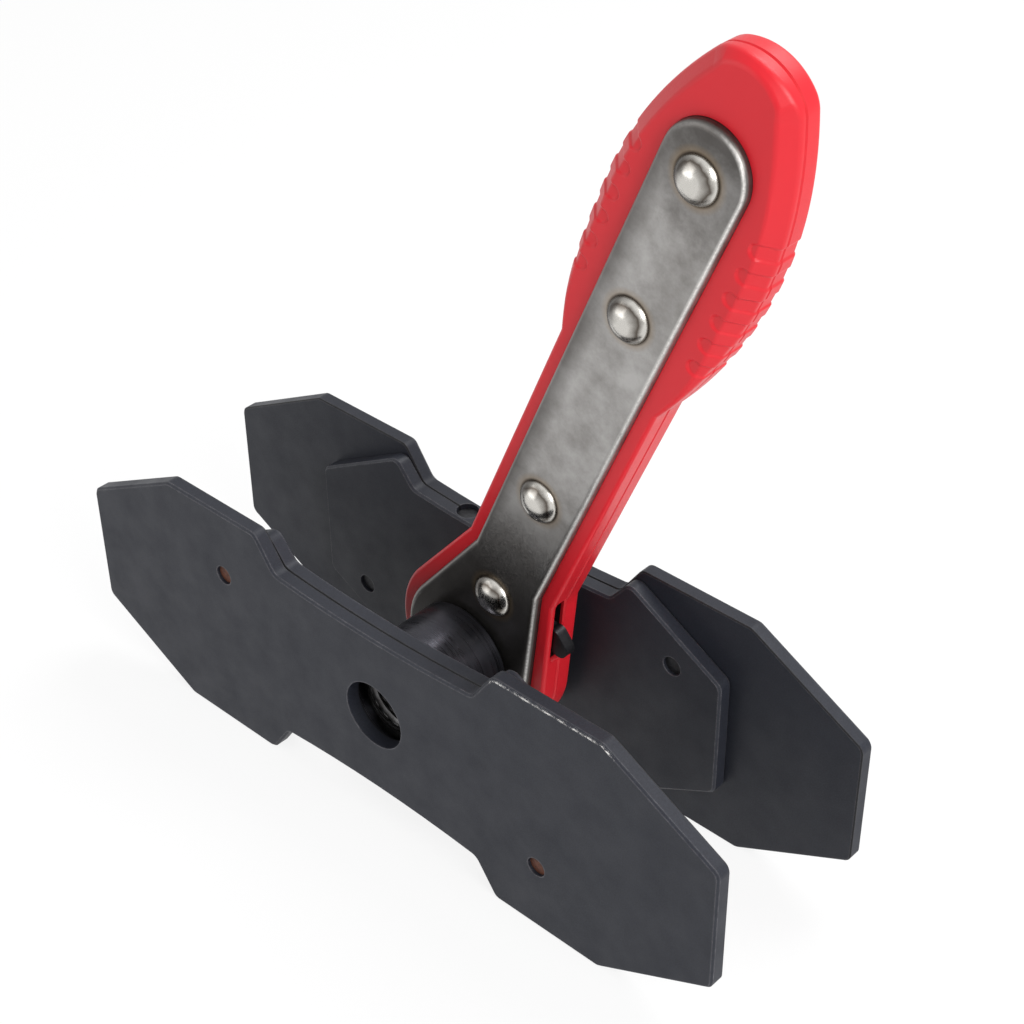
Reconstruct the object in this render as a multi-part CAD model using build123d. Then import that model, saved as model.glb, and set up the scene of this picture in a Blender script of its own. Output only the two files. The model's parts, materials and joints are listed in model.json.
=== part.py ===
from build123d import *
import math
import os

# A ratcheting press that spreads brake-caliper pistons. +Y is the screw axis, from the near jaw
# to the far jaw, +X is the jaws' length and +Z is up. The origin is the centre of the near jaw's
# outer face. Sizes are in millimetres and angles in degrees.

# Jaw plates: every jaw is a long outer plate and a shorter inner plate with the same notches.
JAW_PLATE_THICKNESS = 3.5
JAW_HALF_LENGTH = 90.0
JAW_TIP_HALF_HEIGHT = 15.0
JAW_HALF_HEIGHT = 30.0
JAW_SHOULDER_X = 62.0
JAW_CORNER_X = 34.0
NOTCH_HALF_WIDTH = 28.5
NOTCH_DEPTH = 8.0
NOTCH_SAGITTA = 1.3
INNER_TIP_X = 58.0
INNER_TIP_HALF_HEIGHT = 14.4
INNER_CORNER_X = 33.5
INNER_SHOULDER_DROP = 1.8
PLATE_CORNER_RADIUS = 2.4
PLATE_EDGE_BREAK = 0.5
PLATE_SEAM_BREAK = 0.25

# Pins that join the two plates of a jaw, and pins that lock the threaded piece at the seam.
PLATE_PIN_X = 45.5
PLATE_PIN_Z = 13.2
PLATE_PIN_RADIUS = 2.2
PLATE_PIN_RECESS = 0.8
LOCK_PIN_RADIUS = 2.5
LOCK_PIN_RECESS = 1.2
LOCK_PIN_PAST_CENTRE = 3.0

# Threaded pieces: the near collar is a nut, the drive is a hollow screw, the far stud fits in it.
JAW_BORE_RADIUS = 8.0
FLANGE_RADIUS = 15.0
COLLAR_RADIUS = 12.8
COLLAR_LENGTH = 20.1
SCREW_RADIUS = 10.0
SCREW_SETBACK = 5.0
STUD_RADIUS = 7.0
STUD_LENGTH = 26.0
THREAD_CHAMFER = 0.8
COLLAR_CHAMFER = 0.6

# Clearances.
SHAFT_CLEARANCE = 0.05
FACE_GAP = 0.1
COLLAR_GAP = 0.3
FAR_JAW_GAP = 0.3

# Ratchet gear and thrust rings.
GEAR_TEETH = 20
GEAR_TIP_RADIUS = 13.5
GEAR_TOOTH_DEPTH = 1.5
GEAR_TIP_SHARE = 0.28
GEAR_ROOT_SHARE = 0.62
RING_THICKNESS = 0.8
RING_RIM = 3.3
GEAR_POCKET_CLEARANCE = 0.8

# Handle: heights run from the screw axis along the handle, widths run across it.
HANDLE_TILT = 23.2
SIDE_PLATE_THICKNESS = 2.5
SIDE_PLATE_RECESS = 0.5
SIDE_PLATE_HEAD_RADIUS = 17.3
SIDE_PLATE_HALF_WIDTH = 9.2
SIDE_PLATE_NECK = 31.0
SIDE_PLATE_END = 154.5
SIDE_PLATE_EDGE_RADIUS = 1.4
HUB_HOLE_CLEARANCE = 0.3
SHELL_THICKNESS = 4.3
SHELL_HEAD_RADIUS = 20.7
SHELL_HALF_WIDTH = 12.45
SHELL_NECK = 30.0
SHELL_EDGE_RADIUS = 0.9
PARTING_CHAMFER = 0.35
SHELL_WALL = 2.5
GRIP_START = 93.0
GRIP_WIDEST = 127.0
GRIP_HALF_WIDTH = 18.3
GRIP_END = 167.7
GRIP_SHOULDER = (8.8, 164.4)
GRIP_SHOULDER_RADIUS = 4.0
GRIP_BEVEL_INSET = 2.8
GRIP_BEVEL_DEPTH = 3.5
GRIP_EDGE_RADIUS = 1.0

# Finger grooves across both bevels of the grip: round-bottomed, fading out on the faces.
GROOVE_COUNT = 6
GROOVE_START = 109.5
GROOVE_PITCH = 5.9
GROOVE_RADIUS = 1.8
GROOVE_DEPTH = 0.7
GROOVE_INNER = 12.4
GROOVE_SLOPE = 12.0

# Rivets: the first one is also the pawl's pivot.
RIVET_HEIGHTS = (22.0, 55.2, 109.3, 144.0)
RIVET_RADIUS = 2.6
RIVET_HEAD_RADIUS = 4.6
RIVET_HEAD_HEIGHT = 2.7
RIVET_TAIL_RADIUS = 4.2
RIVET_TAIL_HEIGHT = 1.0

# Pawl, its direction lever, and the detent behind it.
PAWL_HUB_RADIUS = 5.2
PAWL_TIP_ANGLE = 30.8
PAWL_TIP_CLEARANCE = 0.75
PAWL_TIP_HALF_WIDTH = 0.45
PAWL_TIP_LENGTH = 3.0
PAWL_ARM_HALF_WIDTH = 1.6
PAWL_HUB_FLANK = 3.4
PAWL_TILT = 8.5
PAWL_RELIEF = 0.3
PAWL_CAM_RADIUS = 6.5
PAWL_CAM_HALF_WIDTH = 1.0
PAWL_CAM_SLOPE = 3.8
PAWL_POCKET_GAP = 0.2
PAWL_POCKET_LOW = 6.0
PAWL_POCKET_TOP = 29.5
LEVER_ANGLE = -3.0
LEVER_THICKNESS = 2.6
LEVER_HALF_WIDTH = 1.9
LEVER_REACH = 16.0
THUMB_BEND = -26.0
THUMB_HALF_WIDTH = 2.2
THUMB_LENGTH = 7.0
SLOT_LOW = 14.8
SLOT_HIGH = 31.4
SLOT_INNER = 8.0
SLOT_RADIUS = 1.2
PLUNGER_RADIUS = 2.0
PLUNGER_LENGTH = 7.0
PLUNGER_GAP = 0.1
SPRING_RADIUS = 1.8
SPRING_LENGTH = 6.0
SPRING_WIRE_RADIUS = 0.3

# Places along Y that follow from the sizes above.
JAW_THICKNESS = 2 * JAW_PLATE_THICKNESS
COLLAR_END = JAW_THICKNESS + COLLAR_LENGTH
HANDLE_FRONT = COLLAR_END + COLLAR_GAP
SHELL_FRONT = HANDLE_FRONT + SIDE_PLATE_THICKNESS - SIDE_PLATE_RECESS
PARTING = SHELL_FRONT + SHELL_THICKNESS
HANDLE_BACK = 2 * PARTING - HANDLE_FRONT
HUB_BACK = HANDLE_BACK + RIVET_TAIL_HEIGHT
FAR_INNER_FACE = HUB_BACK + FAR_JAW_GAP
FAR_OUTER_FACE = FAR_INNER_FACE + JAW_THICKNESS
NEAR_RING_FRONT = HANDLE_FRONT + SIDE_PLATE_THICKNESS + FACE_GAP
GEAR_FRONT = NEAR_RING_FRONT + RING_THICKNESS + FACE_GAP
GEAR_BACK = 2 * PARTING - GEAR_FRONT

# Places across the jaw and the handle.
NOTCH_Z = JAW_HALF_HEIGHT - NOTCH_DEPTH
PIVOT_HEIGHT = RIVET_HEIGHTS[0]
PAWL_TIP_RADIUS = GEAR_TIP_RADIUS + PAWL_TIP_CLEARANCE
PLUNGER_LOW = PIVOT_HEIGHT + PAWL_CAM_RADIUS + PLUNGER_GAP
SPRING_LOW = PLUNGER_LOW + PLUNGER_LENGTH


def slab(face, y_low, y_high):
    """Extrude a profile, drawn as (X, Z), from y_low to y_high."""
    return extrude(Plane.XZ.offset(-y_high) * face, y_high - y_low)


def rod(radius, y_low, y_high, x=0.0, z=0.0):
    """A cylinder along Y."""
    return slab(Pos(x, z) * Circle(radius), y_low, y_high)


def post(radius, z_low, z_high, x, y):
    """A cylinder along Z."""
    return Pos(x, y, z_low) * extrude(Circle(radius), z_high - z_low)


def polar(radius, angle):
    """A point of the handle's plane at an angle from the handle's centre line, as (across, along)."""
    return (radius * math.sin(math.radians(angle)), radius * math.cos(math.radians(angle)))


def tilted(part):
    """Swing a piece of the upright handle to its rest angle about the screw axis."""
    return Rot(0, HANDLE_TILT, 0) * part


def to_far_jaw(part):
    """Turn a near-jaw piece half a turn about X and carry it to the far jaw."""
    return Pos(0, FAR_OUTER_FACE, 0) * Rot(180, 0, 0) * part


# ---- jaws ----

def notched_outline(quarter):
    """A plate outline with two shallow curved notches, from the points of its upper right quarter."""
    right = quarter + [(x, -z) for x, z in reversed(quarter)]
    left = [(-x, -z) for x, z in right]
    notch_x, notch_z = quarter[0]
    crown = notch_z - NOTCH_SAGITTA
    edges = Polyline(*right) + Polyline(*left)
    edges += ThreePointArc(right[-1], (0, -crown), left[0])
    edges += ThreePointArc(left[-1], (0, crown), right[0])
    face = make_face(edges)
    return fillet(face.vertices(), PLATE_CORNER_RADIUS)


def outer_plate_outline():
    return notched_outline([
        (NOTCH_HALF_WIDTH, NOTCH_Z),
        (JAW_CORNER_X, JAW_HALF_HEIGHT),
        (JAW_SHOULDER_X, JAW_HALF_HEIGHT),
        (JAW_HALF_LENGTH, JAW_TIP_HALF_HEIGHT),
    ])


def inner_plate_outline():
    return notched_outline([
        (NOTCH_HALF_WIDTH, NOTCH_Z),
        (INNER_CORNER_X, JAW_HALF_HEIGHT - INNER_SHOULDER_DROP),
        (INNER_TIP_X, INNER_TIP_HALF_HEIGHT),
    ])


def edge_break(plate, y_face, size):
    """Chamfer the outline's edges that lie in the plane at y_face."""
    faces = plate.faces().filter_by_position(Axis.Y, y_face - 0.01, y_face + 0.01)
    face = faces.sort_by(SortBy.AREA)[-1]
    return chamfer(face.outer_wire().edges(), size)


def plate_pin_places():
    return [(-PLATE_PIN_X, PLATE_PIN_Z), (PLATE_PIN_X, -PLATE_PIN_Z)]


def lock_pin_end():
    """Height of the lock pins' outer ends, inside the lower notch's edge."""
    half_width = NOTCH_HALF_WIDTH
    rise = NOTCH_SAGITTA * (1 - (FLANGE_RADIUS / half_width) ** 2)
    return -(NOTCH_Z - rise - LOCK_PIN_RECESS)


def jaw_holes():
    """The pin holes that both plates of a jaw and its flange share."""
    holes = Part()
    for x, z in plate_pin_places():
        holes += rod(PLATE_PIN_RADIUS + SHAFT_CLEARANCE, -1, JAW_THICKNESS + 1, x, z)
    for x in (-FLANGE_RADIUS, FLANGE_RADIUS):
        radius = LOCK_PIN_RADIUS + SHAFT_CLEARANCE
        holes += post(radius, -JAW_HALF_HEIGHT, LOCK_PIN_PAST_CENTRE, x, JAW_PLATE_THICKNESS)
    return holes


def jaw_outer_plate():
    plate = slab(outer_plate_outline(), 0, JAW_PLATE_THICKNESS)
    plate = edge_break(plate, 0, PLATE_EDGE_BREAK)
    plate = edge_break(plate, JAW_PLATE_THICKNESS, PLATE_SEAM_BREAK)
    plate -= rod(JAW_BORE_RADIUS, -1, JAW_THICKNESS)
    return plate - jaw_holes()


def jaw_inner_plate():
    plate = slab(inner_plate_outline(), JAW_PLATE_THICKNESS, JAW_THICKNESS)
    plate = edge_break(plate, JAW_THICKNESS, PLATE_EDGE_BREAK)
    plate = edge_break(plate, JAW_PLATE_THICKNESS, PLATE_SEAM_BREAK)
    plate -= rod(FLANGE_RADIUS + SHAFT_CLEARANCE, 0, JAW_THICKNESS + 1)
    return plate - jaw_holes()


def threaded_piece(shaft):
    """A shaft with a flange that fills the inner plate's hole, grooved for the lock pins."""
    return rod(FLANGE_RADIUS, JAW_PLATE_THICKNESS, JAW_THICKNESS) + shaft - jaw_holes()


def near_collar():
    """Internally threaded tube: the drive screw turns in it. The thread is left to its major size."""
    tube = rod(COLLAR_RADIUS, JAW_PLATE_THICKNESS, COLLAR_END)
    tube = chamfer(tube.edges().sort_by(Axis.Y)[-1], COLLAR_CHAMFER)
    return threaded_piece(tube) - rod(SCREW_RADIUS + SHAFT_CLEARANCE, 0, COLLAR_END + 1)


def far_stud():
    """Threaded stud of the far jaw, drawn in the near jaw's place: it runs in the drive's bore."""
    shaft = rod(STUD_RADIUS, JAW_PLATE_THICKNESS, JAW_THICKNESS + STUD_LENGTH)
    shaft = chamfer(shaft.edges().sort_by(Axis.Y)[-1], THREAD_CHAMFER)
    return threaded_piece(shaft)


def plate_pin(x, z):
    return rod(PLATE_PIN_RADIUS, PLATE_PIN_RECESS, JAW_THICKNESS - PLATE_PIN_RECESS, x, z)


def lock_pin(x):
    z_high = LOCK_PIN_PAST_CENTRE - FACE_GAP
    return post(LOCK_PIN_RADIUS, lock_pin_end(), z_high, x, JAW_PLATE_THICKNESS)


# ---- drive ----

def gear_outline():
    """Ratchet gear with straight-sided teeth. A tooth is centred on the handle's centre line."""
    pitch = 360 / GEAR_TEETH
    root_radius = GEAR_TIP_RADIUS - GEAR_TOOTH_DEPTH
    tip_half = pitch * GEAR_TIP_SHARE / 2
    root_half = pitch * GEAR_ROOT_SHARE / 2
    points = []
    for tooth in range(GEAR_TEETH):
        centre = tooth * pitch
        points.append(polar(root_radius, centre - root_half))
        points.append(polar(GEAR_TIP_RADIUS, centre - tip_half))
        points.append(polar(GEAR_TIP_RADIUS, centre + tip_half))
        points.append(polar(root_radius, centre + root_half))
    return make_face(Polyline(*points, close=True))


def drive_screw():
    """Hollow screw, ratchet gear and hub in one piece."""
    screw = rod(SCREW_RADIUS, SCREW_SETBACK, HUB_BACK)
    ends = screw.edges().filter_by(GeomType.CIRCLE).sort_by(Axis.Y)
    screw = chamfer([ends[0], ends[-1]], THREAD_CHAMFER)
    screw += slab(gear_outline(), GEAR_FRONT, GEAR_BACK)
    return screw - rod(STUD_RADIUS + SHAFT_CLEARANCE, 0, HUB_BACK + 1)


def thrust_ring(y_low):
    ring = rod(SCREW_RADIUS + RING_RIM, y_low, y_low + RING_THICKNESS)
    return ring - rod(SCREW_RADIUS + SHAFT_CLEARANCE, y_low - 1, y_low + RING_THICKNESS + 1)


# ---- handle ----

def flared_outline(head_radius, half_width, neck, top):
    """A round head on the screw axis, tangent flares to a neck, and a straight neck up to top."""
    head = Circle(head_radius)
    neck_line = Line((-half_width, neck), (half_width, neck))
    flare = make_hull(head.edges() + neck_line.edges())
    return flare + Pos(0, (neck + top) / 2) * Rectangle(2 * half_width, top - neck)


def side_plate_outline():
    """Side plate outline, with a round end past the last rivet."""
    top = SIDE_PLATE_END - SIDE_PLATE_HALF_WIDTH
    flared = flared_outline(SIDE_PLATE_HEAD_RADIUS, SIDE_PLATE_HALF_WIDTH, SIDE_PLATE_NECK, top)
    return flared + Pos(0, top) * Circle(SIDE_PLATE_HALF_WIDTH)


def rivet_holes(y_low, y_high):
    holes = Part()
    for height in RIVET_HEIGHTS:
        holes += rod(RIVET_RADIUS + SHAFT_CLEARANCE, y_low, y_high, 0, height)
    return holes


def near_side_plate():
    back = HANDLE_FRONT + SIDE_PLATE_THICKNESS
    plate = slab(side_plate_outline(), HANDLE_FRONT, back)
    front = plate.faces().sort_by(Axis.Y)[0]
    plate = fillet(front.outer_wire().edges(), SIDE_PLATE_EDGE_RADIUS)
    plate -= rod(SCREW_RADIUS + HUB_HOLE_CLEARANCE, HANDLE_FRONT - 1, back + 1)
    return plate - rivet_holes(HANDLE_FRONT - 1, back + 1)


def about_parting(part):
    """Mirror a piece of the near half of the handle to the far half."""
    return mirror(part, about=Plane.XZ.offset(-PARTING))


def grip_outline():
    """Grip seen from the front: two tangent arcs on each side, shoulders and a rounded end."""
    start = (SHELL_HALF_WIDTH, GRIP_START)
    widest = (GRIP_HALF_WIDTH, GRIP_WIDEST)
    sides = TangentArc(widest, start, tangent=(0, -1))
    sides += TangentArc(widest, GRIP_SHOULDER, tangent=(0, 1))
    sides += mirror(sides, about=Plane.YZ)
    left_shoulder = (-GRIP_SHOULDER[0], GRIP_SHOULDER[1])
    end = ThreePointArc(GRIP_SHOULDER, (0, GRIP_END), left_shoulder)
    face = make_face(sides + end + Line(start, (-start[0], start[1])))
    shoulders = face.vertices().filter_by(lambda corner: corner.Y > GRIP_WIDEST + 1)
    return fillet(shoulders, GRIP_SHOULDER_RADIUS)


def outer_edges(part, y_face):
    """A moulding's outline edges in the plane at y_face, without the straight joint across it."""
    edges = part.edges().filter_by_position(Axis.Y, y_face - 0.01, y_face + 0.01)
    return edges.filter_by(lambda edge: abs(edge.center().X) > 0.01 or edge.geom_type != GeomType.LINE)


def near_grip():
    """Grip half of the near moulding: a wide bevel round its face, with a rounded upper edge."""
    grip = slab(grip_outline(), SHELL_FRONT, PARTING)
    face = grip.faces().sort_by(Axis.Y)[0]
    grip = chamfer(outer_edges(grip, SHELL_FRONT), GRIP_BEVEL_INSET, GRIP_BEVEL_DEPTH, reference=face)
    grip = fillet(outer_edges(grip, SHELL_FRONT), GRIP_EDGE_RADIUS)
    return chamfer(outer_edges(grip, PARTING), PARTING_CHAMFER)


def grip_half_width(height):
    """Half width of the grip at a height, on the arcs of its side."""
    end_half, end_height = GRIP_SHOULDER
    if height < GRIP_WIDEST:
        end_half, end_height = SHELL_HALF_WIDTH, GRIP_START
    reach = end_height - GRIP_WIDEST
    drop = GRIP_HALF_WIDTH - end_half
    radius = (reach ** 2 + drop ** 2) / (2 * drop)
    return GRIP_HALF_WIDTH - radius + math.sqrt(radius ** 2 - (height - GRIP_WIDEST) ** 2)


def sloping_cut(point, run, depth):
    """Long round-bottomed waste whose lowest line follows run, at a depth below a point."""
    outward = Vector(run.Y, -run.X, 0)
    start = point + outward * (GROOVE_RADIUS - depth)
    return extrude(Plane(start, z_dir=run) * Circle(GROOVE_RADIUS), GRIP_HALF_WIDTH)


def right_groove(height):
    """One finger groove on the near grip's right edge: a sloping cut in the face and one down the bevel."""
    bevel_top = Vector(grip_half_width(height) - GRIP_BEVEL_INSET, SHELL_FRONT, height)
    bevel_run = Vector(GRIP_BEVEL_INSET, GRIP_BEVEL_DEPTH, 0).normalized()
    slope = math.radians(GROOVE_SLOPE)
    face_run = Vector(math.cos(slope), math.sin(slope), 0)
    inner_end = Vector(GROOVE_INNER, SHELL_FRONT, height)
    return sloping_cut(bevel_top, bevel_run, GROOVE_DEPTH) + sloping_cut(inner_end, face_run, 0)


def finger_grooves():
    grooves = Part()
    for number in range(GROOVE_COUNT):
        right = right_groove(GROOVE_START + number * GROOVE_PITCH)
        grooves += right + mirror(right, about=Plane.YZ)
    return grooves


def near_neck():
    outline = flared_outline(SHELL_HEAD_RADIUS, SHELL_HALF_WIDTH, SHELL_NECK, GRIP_WIDEST)
    neck = slab(outline, SHELL_FRONT, PARTING)
    neck = fillet(outer_edges(neck, SHELL_FRONT), SHELL_EDGE_RADIUS)
    return chamfer(outer_edges(neck, PARTING), PARTING_CHAMFER)


def pawl_pocket():
    """Room for the pawl, between a front and a back floor, and the detent's bore."""
    low, high = PAWL_POCKET_LOW, PAWL_POCKET_TOP
    half_width = SHELL_HALF_WIDTH - SHELL_WALL
    room = flared_outline(SHELL_HEAD_RADIUS - SHELL_WALL, half_width, SHELL_NECK, high)
    room &= Pos(0, (low + high) / 2) * Rectangle(2 * SHELL_HEAD_RADIUS, high - low)
    pocket = slab(room, GEAR_FRONT - PAWL_POCKET_GAP, GEAR_BACK + PAWL_POCKET_GAP)
    bore_top = SPRING_LOW + SPRING_LENGTH
    return pocket + post(PLUNGER_RADIUS + SHAFT_CLEARANCE, high - 1, bore_top, 0, PARTING)


def near_shell_blank():
    """Near moulding before its lever slot: neck, head and grip with the pockets cut in."""
    shell = near_neck() + (near_grip() - finger_grooves())
    side_plate = slab(side_plate_outline(), HANDLE_FRONT - 1, SHELL_FRONT + SIDE_PLATE_RECESS)
    shell -= side_plate
    shell -= rod(GEAR_TIP_RADIUS + GEAR_POCKET_CLEARANCE, HANDLE_FRONT, PARTING)
    shell -= pawl_pocket() & rod(GRIP_END, HANDLE_FRONT, PARTING)
    return shell - rivet_holes(HANDLE_FRONT, PARTING)


def lever_slot():
    """Slot in the right side of the near shell that the direction lever comes out of."""
    width = SHELL_HEAD_RADIUS + 1 - SLOT_INNER
    centre = SLOT_INNER + width / 2
    face = Pos(centre, (SLOT_LOW + SLOT_HIGH) / 2) * Rectangle(width, SLOT_HIGH - SLOT_LOW)
    front = GEAR_FRONT - PAWL_POCKET_GAP - FACE_GAP
    return slab(fillet(face.vertices(), SLOT_RADIUS), front, PARTING)


def rivet(height):
    """A through rivet: domed head on the near side plate, low tail on the far one."""
    head_top = (0, HANDLE_FRONT - RIVET_HEAD_HEIGHT)
    head_rim = (RIVET_HEAD_RADIUS, HANDLE_FRONT)
    tail_rim = (RIVET_TAIL_RADIUS, HANDLE_BACK)
    tail_top = (0, HANDLE_BACK + RIVET_TAIL_HEIGHT)
    shank = Polyline(head_rim, (RIVET_RADIUS, HANDLE_FRONT), (RIVET_RADIUS, HANDLE_BACK), tail_rim)
    head = TangentArc(head_top, head_rim, tangent=(1, 0))
    tail = TangentArc(tail_top, tail_rim, tangent=(1, 0))
    profile = make_face(head + shank + tail + Line(tail_top, head_top))
    return Pos(0, 0, height) * revolve(profile, Axis.Y)


# ---- pawl and detent ----

def wedge(start, end, start_half, end_half):
    """A straight-sided web between two points, with its own half width at each."""
    across = (end - start).normalized().rotate(Axis.Z, 90)
    corners = [start + across * start_half, end + across * end_half]
    corners += [end - across * end_half, start - across * start_half]
    return make_face(Polyline(*[(p.X, p.Y) for p in corners], close=True))


def gear_centre(tilt):
    """Where the screw axis lies in the pawl's own frame when the pawl is tilted."""
    across, along = polar(PIVOT_HEIGHT, 180 - tilt)
    return Vector(across, PIVOT_HEIGHT + along)


def pawl_apex(side):
    return Vector(*polar(PAWL_TIP_RADIUS, side * PAWL_TIP_ANGLE))


def pawl_tip(side):
    """A narrow tip that points at the gear's centre when its side is engaged."""
    apex = pawl_apex(side)
    outward = (apex - gear_centre(side * PAWL_TILT)).normalized()
    return wedge(apex, apex + outward * PAWL_TIP_LENGTH, PAWL_TIP_HALF_WIDTH, PAWL_ARM_HALF_WIDTH)


def pawl_body():
    """Hub and two arms, relieved round the gear in every tilt, with a tip on each arm."""
    hub = Vector(0, PIVOT_HEIGHT)
    body = Pos(hub) * Circle(PAWL_HUB_RADIUS)
    for side in (-1, 1):
        body += wedge(pawl_apex(side), hub, PAWL_ARM_HALF_WIDTH, PAWL_HUB_FLANK)
    for tilt in (-PAWL_TILT, 0, PAWL_TILT):
        body -= Pos(gear_centre(tilt)) * Circle(GEAR_TIP_RADIUS + PAWL_RELIEF)
    return body + pawl_tip(-1) + pawl_tip(1)


def pawl_cam():
    """The hump behind the hub that the detent plunger rests on."""
    reach = math.sqrt(PAWL_CAM_RADIUS ** 2 - PAWL_CAM_HALF_WIDTH ** 2)
    return make_face(Polyline(
        (-PAWL_CAM_SLOPE, PIVOT_HEIGHT),
        (-PAWL_CAM_HALF_WIDTH, PIVOT_HEIGHT + reach),
        (PAWL_CAM_HALF_WIDTH, PIVOT_HEIGHT + reach),
        (PAWL_CAM_SLOPE, PIVOT_HEIGHT),
        close=True,
    ))


def lever_outline():
    """Lever arm from the pivot, with a round-ended thumb piece bent down at its end."""
    arm = Pos(LEVER_REACH / 2, 0) * Rectangle(LEVER_REACH, 2 * LEVER_HALF_WIDTH)
    thumb = SlotOverall(THUMB_LENGTH, 2 * THUMB_HALF_WIDTH)
    arm += Pos(LEVER_REACH, 0) * Rot(0, 0, THUMB_BEND) * thumb
    return Pos(0, PIVOT_HEIGHT) * Rot(0, 0, LEVER_ANGLE) * arm


def direction_pawl():
    """Double-ended pawl with its direction lever, held level between both directions."""
    pawl = slab(pawl_body() + pawl_cam(), GEAR_FRONT, GEAR_BACK)
    pawl += slab(lever_outline(), GEAR_FRONT, GEAR_FRONT + LEVER_THICKNESS)
    return pawl - rod(RIVET_RADIUS + SHAFT_CLEARANCE, HANDLE_FRONT, HANDLE_BACK, 0, PIVOT_HEIGHT)


def detent_plunger():
    pin = post(PLUNGER_RADIUS, PLUNGER_LOW, SPRING_LOW, 0, PARTING)
    return fillet(pin.edges().sort_by(Axis.Z)[0], PLUNGER_RADIUS / 2)


def detent_spring():
    """The spring's sleeve: its outer size and the wire's thickness, without its turns."""
    top = SPRING_LOW + SPRING_LENGTH
    sleeve = post(SPRING_RADIUS, SPRING_LOW, top, 0, PARTING)
    return sleeve - post(SPRING_RADIUS - 2 * SPRING_WIRE_RADIUS, SPRING_LOW, top, 0, PARTING)


# ---- assembly ----

def jaw_pieces(name, place, threaded_name, threaded):
    pieces = {
        name + "_outer_plate": place(jaw_outer_plate()),
        name + "_inner_plate": place(jaw_inner_plate()),
        threaded_name: place(threaded),
    }
    for side, (x, z) in zip(("left", "right"), plate_pin_places()):
        pieces[name + "_plate_pin_" + side] = place(plate_pin(x, z))
    for side, x in (("left", -FLANGE_RADIUS), ("right", FLANGE_RADIUS)):
        pieces[name + "_lock_pin_" + side] = place(lock_pin(x))
    return pieces


def handle_pieces():
    blank = near_shell_blank()
    side_plate = near_side_plate()
    pieces = {
        "near_side_plate": side_plate,
        "far_side_plate": about_parting(side_plate),
        "near_handle_shell": blank - lever_slot(),
        "far_handle_shell": about_parting(blank),
        "direction_pawl": direction_pawl(),
        "detent_plunger": detent_plunger(),
        "detent_spring": detent_spring(),
        "drive_screw": drive_screw(),
        "near_thrust_ring": thrust_ring(NEAR_RING_FRONT),
        "far_thrust_ring": thrust_ring(GEAR_BACK + FACE_GAP),
    }
    for number, height in enumerate(RIVET_HEIGHTS, start=1):
        pieces["handle_rivet_" + str(number)] = rivet(height)
    return {node: tilted(piece) for node, piece in pieces.items()}


def main():
    os.makedirs("parts", exist_ok=True)
    pieces = jaw_pieces("near_jaw", lambda part: part, "near_jaw_collar", near_collar())
    pieces.update(jaw_pieces("far_jaw", to_far_jaw, "far_jaw_stud", far_stud()))
    pieces.update(handle_pieces())
    for node, shape in pieces.items():
        export_step(shape, "parts/" + node + ".step")


main()
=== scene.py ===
"""Ratcheting brake-caliper piston press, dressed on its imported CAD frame.

Object coordinates are in metres, in the frame's own axes: +Y along the screw, +X along the jaws
and +Z up. Sizes in this file are in millimetres, but for the studio's, and MM turns them into
metres. A place on the handle is written (across, along), in the handle's plane and from the
screw axis.
"""

import json
import logging
import math
from dataclasses import dataclass, replace
from enum import Enum
from functools import cached_property, reduce
from typing import Any

import bmesh
import bpy
import numpy as np
from mathutils import Matrix, Vector

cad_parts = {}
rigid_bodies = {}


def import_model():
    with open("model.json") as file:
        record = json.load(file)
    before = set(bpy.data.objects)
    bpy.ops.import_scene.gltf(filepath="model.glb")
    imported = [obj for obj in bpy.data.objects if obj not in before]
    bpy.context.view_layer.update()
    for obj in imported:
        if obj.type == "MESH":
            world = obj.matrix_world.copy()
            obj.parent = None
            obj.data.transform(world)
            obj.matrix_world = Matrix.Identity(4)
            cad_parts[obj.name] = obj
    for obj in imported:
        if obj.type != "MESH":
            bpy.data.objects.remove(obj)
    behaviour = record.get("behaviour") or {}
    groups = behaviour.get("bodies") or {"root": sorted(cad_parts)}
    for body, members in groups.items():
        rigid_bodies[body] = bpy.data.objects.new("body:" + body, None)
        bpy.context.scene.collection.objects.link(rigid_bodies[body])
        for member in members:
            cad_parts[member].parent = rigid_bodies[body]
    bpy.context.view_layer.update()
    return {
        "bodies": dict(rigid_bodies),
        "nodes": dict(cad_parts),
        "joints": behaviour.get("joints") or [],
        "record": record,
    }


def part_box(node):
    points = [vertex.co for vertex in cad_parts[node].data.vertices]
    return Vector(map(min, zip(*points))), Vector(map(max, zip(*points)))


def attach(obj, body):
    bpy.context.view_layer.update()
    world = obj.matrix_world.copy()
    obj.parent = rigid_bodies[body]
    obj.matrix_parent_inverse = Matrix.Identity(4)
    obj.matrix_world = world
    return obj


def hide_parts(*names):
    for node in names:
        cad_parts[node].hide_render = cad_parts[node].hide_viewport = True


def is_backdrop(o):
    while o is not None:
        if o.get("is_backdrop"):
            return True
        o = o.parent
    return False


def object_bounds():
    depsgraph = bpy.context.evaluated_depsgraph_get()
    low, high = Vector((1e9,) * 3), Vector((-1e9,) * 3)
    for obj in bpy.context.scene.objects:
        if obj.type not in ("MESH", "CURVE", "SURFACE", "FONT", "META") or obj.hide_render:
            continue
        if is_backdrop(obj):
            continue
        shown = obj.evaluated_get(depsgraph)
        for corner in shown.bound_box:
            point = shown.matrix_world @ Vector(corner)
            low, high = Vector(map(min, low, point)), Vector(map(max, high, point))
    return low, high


LOG = logging.getLogger("press")
MM = 0.001
MERGE = 2e-7
TURN_STEPS = 96
WHITE = (1.0, 1.0, 1.0, 1.0)

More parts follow.
